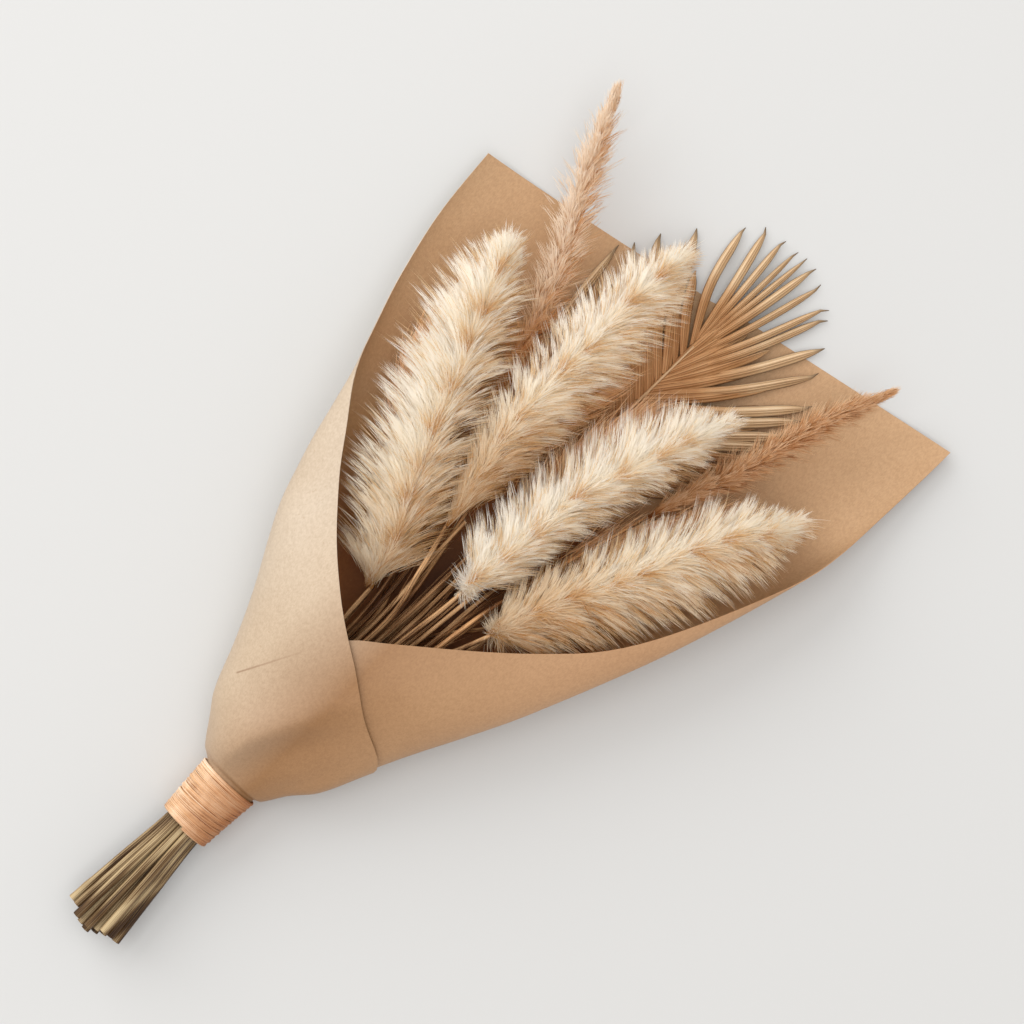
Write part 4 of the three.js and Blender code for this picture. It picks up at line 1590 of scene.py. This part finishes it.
@dataclass(frozen=True)
class PalmLeaf:
    """A pleated palm leaf: a rib with folded leaflets that fan out towards its tip.

    The short leaflets are covered by the others and keep the colour of the leaf's middle up to their
    tips. Where they crowd up the rib, their outline turns from the broad to the narrow one. A pleat
    flattens along its leaflet. Spreads and ranges are those of small irregularities.
    """

    base: Place = (5, -1.7, 5.5)
    tip: Place = (5.7, 124, 6)
    right: tuple[tuple[float, ...], ...] = (
        (124.5, -9.8, 193.2, 0.01, 4.3), (123.5, 0, 194.9, 0.01, 3.7), (122, 8.9, 195.4, 0.01, 3),
        (120, 15, 196.4, 0.01, 3.3), (117, 21.3, 195.9, 0.015, 4.4), (114, 9, 152, 0.01, 5.5),
        (113, 30.2, 191.7, 0.02, 3.8), (111, 15, 150, 0.01, 5.5), (108, 39.8, 186.3, 0.02, 3.8),
        (106, 21, 149, 0.02, 5.5), (103, 43.3, 182.1, 0.025, 3.9), (101, 28, 151, 0.02, 5.5),
        (99, 34.5, 150.5, 0.02, 6), (97, 53.6, 170.4, 0.03, 5.2), (94, 42, 150, 0.03, 5.5),
        (90.5, 61.3, 158.6), (87, 50, 141, 0.03, 5.5), (83.5, 70.6, 144.7), (80, 57, 131, 0.03, 5.5),
        (77, 71, 136), (73, 60, 121, 0.03, 5.5), (70, 72, 126), (66, 71, 117), (61, 70, 107),
        (55, 68, 97), (49, 65, 87), (43, 60, 76), (37, 54, 65), (30, 46, 53), (23, 38, 41), (16, 30, 30),
    )
    left: tuple[tuple[float, ...], ...] = (
        (124, -18.8, 185.3, 0.06, 5), (118, -21, 152), (112, -26, 150), (106, -35.1, 167.9, 0.04, 6.4),
        (100, -35, 146), (94, -39, 143), (88, -47, 152.6, 0.04, 6.4), (82, -44, 134), (76, -47, 128),
        (70, -52.4, 140.5, 0.04, 6.4), (64, -50, 120), (58, -53, 113), (52, -55, 106), (46, -56, 98),
        (40, -56, 90), (34, -54, 81), (28, -51, 72), (22, -46, 61), (16, -40, 50), (43, -57.8, 133.7, 0.2, 5),
    )
    fold: float = 1.8
    flattened: float = 0.6
    flattening: Pair = (0.35, 0.75)
    ridge: float = 0.3
    thickness: float = 0.3
    arch: float = 1.6
    rib_lift: float = 1.3
    drop: float = 1.2
    droop: float = 2.2
    drooping: Pair = (0.4, 0.95)
    lowest: float = 1.5
    columns: int = 8
    rows: int = 22
    covered_length: float = 84
    covered_below: float = 155
    covered_share: float = 0.5
    crowding: Pair = (92, 116)
    broad: Keys = (
        (0, 1.1), (0.1, 1.12), (0.35, 1.08), (0.6, 1.04), (0.8, 1), (0.88, 0.82), (0.95, 0.4), (1, 0.03),
    )
    narrow: Keys = (
        (0, 0.5), (0.2, 0.85), (0.35, 1), (0.5, 1.02), (0.76, 1), (0.87, 0.78), (0.95, 0.34), (1, 0.03),
    )
    width_range: Pair = (0.96, 1.04)
    hook_spread: float = 0.7
    twist_spread: float = 0.3
    height_spread: float = 0.3
    tip_range: Pair = (-0.5, 1.2)
    seed: int = 101

    def leaflet(self, given: Leaflet, side: int, draw: Draw) -> Piece:
        """Models one leaflet.

        Args:
            given: Where it grows, where it ends, how it bows and how wide it is.
            side: -1 for the left side and 1 for the right side.
            draw: The source of its small irregularities.

        Returns:
            The leaflet.
        """
        base, end = np.array(self.base, float), np.array(self.tip, float)
        root = (base + (end - base) * given.along / np.linalg.norm(end - base))[:2]
        tip = np.array([given.tip_x, given.tip_y])
        chord = tip - root
        outward = np.array([chord[1], -chord[0]]) * side
        middle = root + chord * 0.5 + outward * given.bow
        flat = Course(np.column_stack([np.vstack([root, middle, tip]), np.zeros(3)]))
        piece, across, share = add_stock("leaflet", self.columns, self.rows)
        if np.linalg.norm(chord) < self.covered_length and given.tip_y < self.covered_below:
            place_map(piece, piece.data.uv_layers[0].name, (0, 0), (1, self.covered_share))
        across = (across - 0.5) * 2
        crowded = float(smooth_step(*self.crowding, given.along))
        outline = keyed(self.broad, share) * (1 - crowded) + keyed(self.narrow, share) * crowded
        half = outline * given.width / 2 * draw.uniform(*self.width_range)
        centre, sideways, _ = flat.at(share * flat.length)
        hook = draw.normal(0, self.hook_spread) * smooth_step(0.95, 1, share)
        twist = draw.normal(0, self.twist_spread) * share
        flattened = 1 - self.flattened * smooth_step(*self.flattening, share)
        pleat = self.fold * (1 - np.abs(across)) * flattened - self.ridge * np.cos(4 * math.pi * across)
        height = outline * pleat + self.arch * np.sin(share * math.pi) - self.drop
        height = height + across * half * np.sin(twist) + draw.normal(0, self.height_spread)
        height = height + draw.uniform(*self.tip_range) * share**3 + base[2]
        height = height - self.droop * smooth_step(*self.drooping, share)
        points = centre + sideways * column(across * half * np.cos(twist) + hook)
        points[:, 2] = np.maximum(height, self.lowest)
        lay(piece, points)
        return piece

    def build(self) -> Piece:
        """Models the leaf.

        Returns:
            The dressed leaf.
        """
        draw = np.random.default_rng(self.seed)
        pieces = [self.leaflet(Leaflet(*row), 1, draw) for row in self.right]
        pieces += [self.leaflet(Leaflet(*row), -1, draw) for row in self.left]
        leaf = join(pieces, "palm_leaf_dressed")
        thicken(leaf, self.thickness, 0)
        course = Course(np.linspace(self.base, self.tip, 5) + UP * self.rib_lift)
        rib = lay_tube("rib", course, lambda share, _: 1.2 - 0.7 * share, (10, 30))
        place_map(rib, leaf.data.uv_layers[0].name, (0.2, 0.3), (0.2, 0.3))
        leaf = join([leaf, rib], "palm_leaf_dressed")
        shade_smooth(leaf, 30)
        wear(leaf, PALM.material())
        return leaf


@dataclass(frozen=True)
class KraftWrap:
    """One sheet of kraft paper, rolled to a cone whose left flap lies over the right one.

    The outer face is a flattened tube of superellipses. Its turn is 0 at the middle of the underside
    and grows over the left side, and turns are counted in half circles.
    """

    thickness: float = 0.4
    solid_thickness: float = 0.7
    layer_gap: float = 0.4
    gap_growth: float = 0.03
    gap_start: float = 12
    parting: Pair = (-98, -58)
    lifted_turns: Pair = (0.1, 0.5)
    columns: int = 180
    rows: int = 96
    row_places: Keys = ((0, -222), (0.06, -198), (0.14, -189), (0.42, -130), (0.64, -60), (1, 150))
    left_half_width: Keys = (
        (-222, 11.9), (-208, 13.1), (-195.5, 14.3), (-194, 16.5), (-191.5, 20), (-180, 28), (-168, 36),
        (-144, 45.3), (-120, 55.8), (-96, 68.3), (-72, 81.5), (-48, 90), (-24, 96), (0, 102.5),
        (44, 120.3), (81, 132.5), (120, 140.6),
    )
    right_half_width: Keys = (
        (-222, 11.9), (-208, 13.1), (-194.6, 14.2), (-193.4, 14.8), (-192, 17.5), (-180, 25), (-168, 34.5),
        (-144, 45), (-120, 56), (-96, 68), (-72, 79.5), (-48, 89.5), (-24, 99), (0, 108), (24, 116),
        (57, 126), (88, 134.4), (127, 141.6), (178, 150),
    )
    left_flap: Keys = (
        (-222, 1.6), (-145, 1.52), (-136, 1.37), (-127, 1.19), (-119, 1.1), (-101, 0.97), (-90, 0.905),
        (-71, 0.82), (-49, 0.74), (-23, 0.65), (8, 0.5), (44, 0.43), (81, 0.39), (120, 0.36),
    )
    right_flap: Keys = (
        (-222, 1.55), (-164, 1.45), (-153, 1.3), (-142, 1.2), (-130, 1.14), (-101, 1.03), (-86, 0.957),
        (-70, 0.884), (-53, 0.813), (-36, 0.75), (-18, 0.69), (4, 0.644), (57, 0.565), (88, 0.5),
        (127, 0.42), (178, 0.36),
    )
    widest: Keys = (
        (-222, 17.3), (-195, 17.3), (-170, 20), (-140, 24), (-101, 30), (-50, 36), (0, 40), (44, 38),
        (80, 33), (120, 26), (178, 20),
    )
    below: Keys = (
        (-222, 11.9), (-208, 13.1), (-196, 14.2), (-185, 18.5), (-170, 22), (-140, 26), (-101, 32),
        (-50, 38), (0, 42), (44, 40), (80, 35), (120, 28), (178, 22),
    )
    above: Keys = (
        (-222, 11.9), (-208, 13.1), (-194.6, 14.2), (-193.4, 14.8), (-192, 18), (-170, 25), (-140, 29),
        (-101, 31), (-50, 26), (0, 22),
    )
    under_squareness: Keys = ((-195, 2), (-150, 3))
    top_squareness: Keys = ((-195, 2), (-150, 2.1))
    fold_line: Keys = ((-194, -16.5), (-173, -13.4), (-153, -4.6), (-120, 12.7))
    fold_heights: Keys = ((-194, 0.8), (-189, 3.4), (-182, 5.2), (-168, 4.8), (-145, 2.4), (-118, 0))
    fold_widths: Pair = (14, 7.5)
    fold_sides: Pair = (0.55, 0.75)
    sink_depths: Keys = ((-194, 0), (-186, 2.4), (-170, 4.6), (-148, 4), (-122, 1.5), (-100, 0))
    sink_width: float = 18
    left_corner: Pair = (-136.5, 119.5)
    right_corner: Pair = (135.4, 177.8)
    cut_start: float = -100

    def outer(self, y: Array, turn: Array) -> Array:
        """Gives points of the outer face.

        Args:
            y: Their places along the bundle.
            turn: Their turns round it.

        Returns:
            The points.
        """
        angle = turn * math.pi
        sine, cosine = np.sin(angle), -np.cos(angle)
        half = np.where(sine > 0, keyed(self.left_half_width, y), keyed(self.right_half_width, y))
        gap = self.layer_gap + self.gap_growth * np.maximum(half - self.gap_start, 0)
        overlap = (1 - smooth_step(*self.parting, y)) * smooth_step(*self.lifted_turns, turn)
        lift = (self.solid_thickness + gap) * overlap
        squareness = np.where(cosine < 0, keyed(self.under_squareness, y), keyed(self.top_squareness, y))
        reach = np.where(cosine < 0, keyed(self.below, y), keyed(self.above, y))
        x = PACKING.middle_x - np.sign(sine) * (half + lift) * np.abs(sine) ** (2 / squareness)
        z = keyed(self.widest, y) + np.sign(cosine) * (reach + lift) * np.abs(cosine) ** (2 / squareness)
        return np.stack([x, y, np.maximum(z, 0)], axis=-1)

    def edge_offset(self, place: Array, x: Array) -> Array:
        """Leans the rows near the top, so that the top edge is one straight cut from corner to corner.

        Args:
            place: The rows' own places along the bundle.
            x: Where the points lie across it.

        Returns:
            How far each point moves along the bundle.
        """
        (left_x, left_y), (right_x, right_y) = self.left_corner, self.right_corner
        edge = left_y + (x - left_x) * (right_y - left_y) / (right_x - left_x)
        top = self.row_places[-1][1]
        return (edge - top) * smooth_step(self.cut_start, top, place)

    def turn_at(self, y: Array, across: Array) -> Array:
        """Gives the turn for a share across the sheet, from the right flap's edge to the left one's."""
        right, left = -keyed(self.right_flap, y), keyed(self.left_flap, y)
        return right + (left - right) * across

    def creased(self, points: Array, turn: Array) -> Array:
        """Raises the fold of the gathered paper on the left flap.

        Args:
            points: The points of the smooth outer face.
            turn: Their turns.

        Returns:
            The points with the puffed fold by the binding, and with the paper sunk to its right.
        """
        x, y, z = points.T
        on_top = smooth_step(*self.fold_sides, np.minimum(np.abs(turn), 2 - np.abs(turn)))
        past_fold = x - keyed(self.fold_line, y)
        width = np.where(past_fold < 0, *self.fold_widths)
        raised = keyed(self.fold_heights, y) * np.exp(-((past_fold / width) ** 2)) * (turn > 0)
        sunk = keyed(self.sink_depths, y) * smooth_step(0, self.sink_width, past_fold)
        return np.stack([x, y, z + (raised - sunk) * on_top], axis=-1)

    def build(self) -> Piece:
        """Models the sheet and gives its two faces their finishes.

        Returns:
            The dressed sheet.
        """
        piece, across, share = add_stock("paper_wrap_dressed", self.columns, self.rows)
        place = keyed(self.row_places, share)
        y = place + self.edge_offset(place, self.outer(place, self.turn_at(place, across))[:, 0])
        turn = self.turn_at(y, across)
        lay(piece, self.creased(self.outer(y, turn), turn))
        wear(piece, OUTER_KRAFT.material(), INNER_KRAFT.material())
        thicken(piece, self.thickness, -1, 1)
        shade_smooth(piece, 60)
        return piece


@dataclass(frozen=True)
class RaffiaTie:
    """Raffia wound side by side round the paper and the stems.

    The wander is how the strip strays along the bundle, and the bumps are how it rises and sinks.
    """

    lower: float = -228.5
    upper: float = -195
    lower_radius: float = 14.6
    upper_radius: float = 17
    turns: float = 23.5
    rings_a_turn: int = 30
    sides: int = 12
    strip_width: float = 1.7
    strip_depth: float = 1.2
    slant: float = 1
    wander: tuple[Place, ...] = ((0.2, 0.37, 1.3), (0.15, 1.61, 0))
    bumps: tuple[Place, ...] = ((0.16, 0.53, 0), (0.12, 2.3, 0))

    def build(self) -> Piece:
        """Models the winding as one flattened strip.

        Returns:
            The dressed winding.
        """
        rings = int(self.turns * self.rings_a_turn)
        piece, around, share = add_stock("raffia_tie_dressed", self.sides, rings)
        angle, turn = share * self.turns * 2 * math.pi, around * 2 * math.pi
        margin = self.strip_width / 2
        y = self.lower + margin + (self.upper - self.lower - 2 * margin) * share
        stray = self.slant * np.sin(angle) + waves(angle, *self.wander)
        y = y + stray * np.sin(share * math.pi) + np.sin(turn) * margin
        radius = self.lower_radius + (self.upper_radius - self.lower_radius) * share
        radius = radius + waves(angle, *self.bumps) + (np.cos(turn) - 1) * self.strip_depth / 2
        x = PACKING.middle_x + np.sin(angle) * radius
        z = PACKING.middle_height + np.cos(angle) * radius
        lay(piece, np.stack([x, y, z], axis=-1))
        close_tube(piece)
        shade_smooth(piece)
        wear(piece, RAFFIA.material())
        return piece


@dataclass(frozen=True)
class Studio:
    """A pale floor, soft light from the bundle's left side and a camera straight above."""

    eye_height: float = 1.8
    field_width: float = 0.512
    field_height: float = 0.025
    roll: float = 45
    sensor_width: float = 36
    seen: Pair = (0.01, 20)
    floor_side: float = 6
    floor_colour: str = "#cacbca"
    key_place: Place = (-2.6, 0.3, 1.6)
    key_side: float = 2.8
    key_power: float = 62
    top_height: float = 2.6
    top_side: float = 2.6
    top_power: float = 33
    fill_colour: str = "#fffaf7"
    fill_strength: float = 0.73
    view_transform: str = "Standard"

    def build(self) -> None:
        """Sets up the camera, the floor and the lights."""
        self.add_camera()
        self.add_floor()
        self.add_light(self.key_place, self.key_side, self.key_power)
        self.add_light((0, 0, self.top_height), self.top_side, self.top_power)
        self.set_world()
        bpy.context.scene.view_settings.view_transform = self.view_transform

    def add_camera(self) -> None:
        """Hangs the camera above the bundle, turned so that the bundle lies diagonally."""
        select()
        bpy.ops.object.camera_add(location=(0, 0, self.eye_height), rotation=(0, 0, math.radians(self.roll)))
        camera = bpy.context.object
        camera.data.sensor_width = self.sensor_width
        camera.data.lens = self.sensor_width * (self.eye_height - self.field_height) / self.field_width
        camera.data.clip_start, camera.data.clip_end = self.seen
        bpy.context.scene.camera = camera

    def add_floor(self) -> None:
        """Lays a wide floor under the bundle."""
        select()
        bpy.ops.mesh.primitive_plane_add(size=self.floor_side)
        floor = bpy.context.object
        floor.name = "floor"
        shading = Shading("floor")
        shading.surface(colour(self.floor_colour), 0.9, 0.5)
        wear(floor, shading.material)

    def add_light(self, place: Place, side: float, power: float) -> None:
        """Hangs a large soft light that shines at the bundle.

        Args:
            place: Where it hangs.
            side: The side of its square.
            power: Its power in watts.
        """
        select()
        bpy.ops.object.light_add(type="AREA", location=place)
        light = bpy.context.object
        light.data.shape = "SQUARE"
        light.data.size = side
        light.data.energy = power
        light.rotation_euler = (-Vector(place)).to_track_quat("-Z", "Y").to_euler()

    def set_world(self) -> None:
        """Lights the shade evenly."""
        world = bpy.data.worlds.new("studio")
        world.use_nodes = True
        background = world.node_tree.nodes["Background"]
        background.inputs["Color"].default_value = colour(self.fill_colour)
        background.inputs["Strength"].default_value = self.fill_strength
        bpy.context.scene.world = world


def main() -> None:
    """Builds the studio and every piece of the bundle in order."""
    logging.basicConfig(level=logging.INFO, format="%(name)s %(message)s")
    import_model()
    Studio().build()
    hand_over(KraftWrap().build(), "paper_wrap")
    hand_over(RaffiaTie().build(), "raffia_tie")
    hand_over(PalmLeaf().build(), "palm_leaf")
    straw, dark_straw = STRAW.material(), DARK_STRAW.material()
    for stem in stems():
        hand_over(stem.build(dark_straw if stem.dark else straw), stem.node)
    hair_materials = {finish.name: finish.material() for finish in (CREAM, BLUSH, PALE_BLUSH, BROWN)}
    for head in HEADS:
        hand_over(head.build(hair_materials[head.finish.name]), head.node)
    for grass in BROWN_GRASSES:
        hand_over(grass.build(hair_materials[BROWN.name], dark_straw), grass.node)


if __name__ == "__main__":
    main()
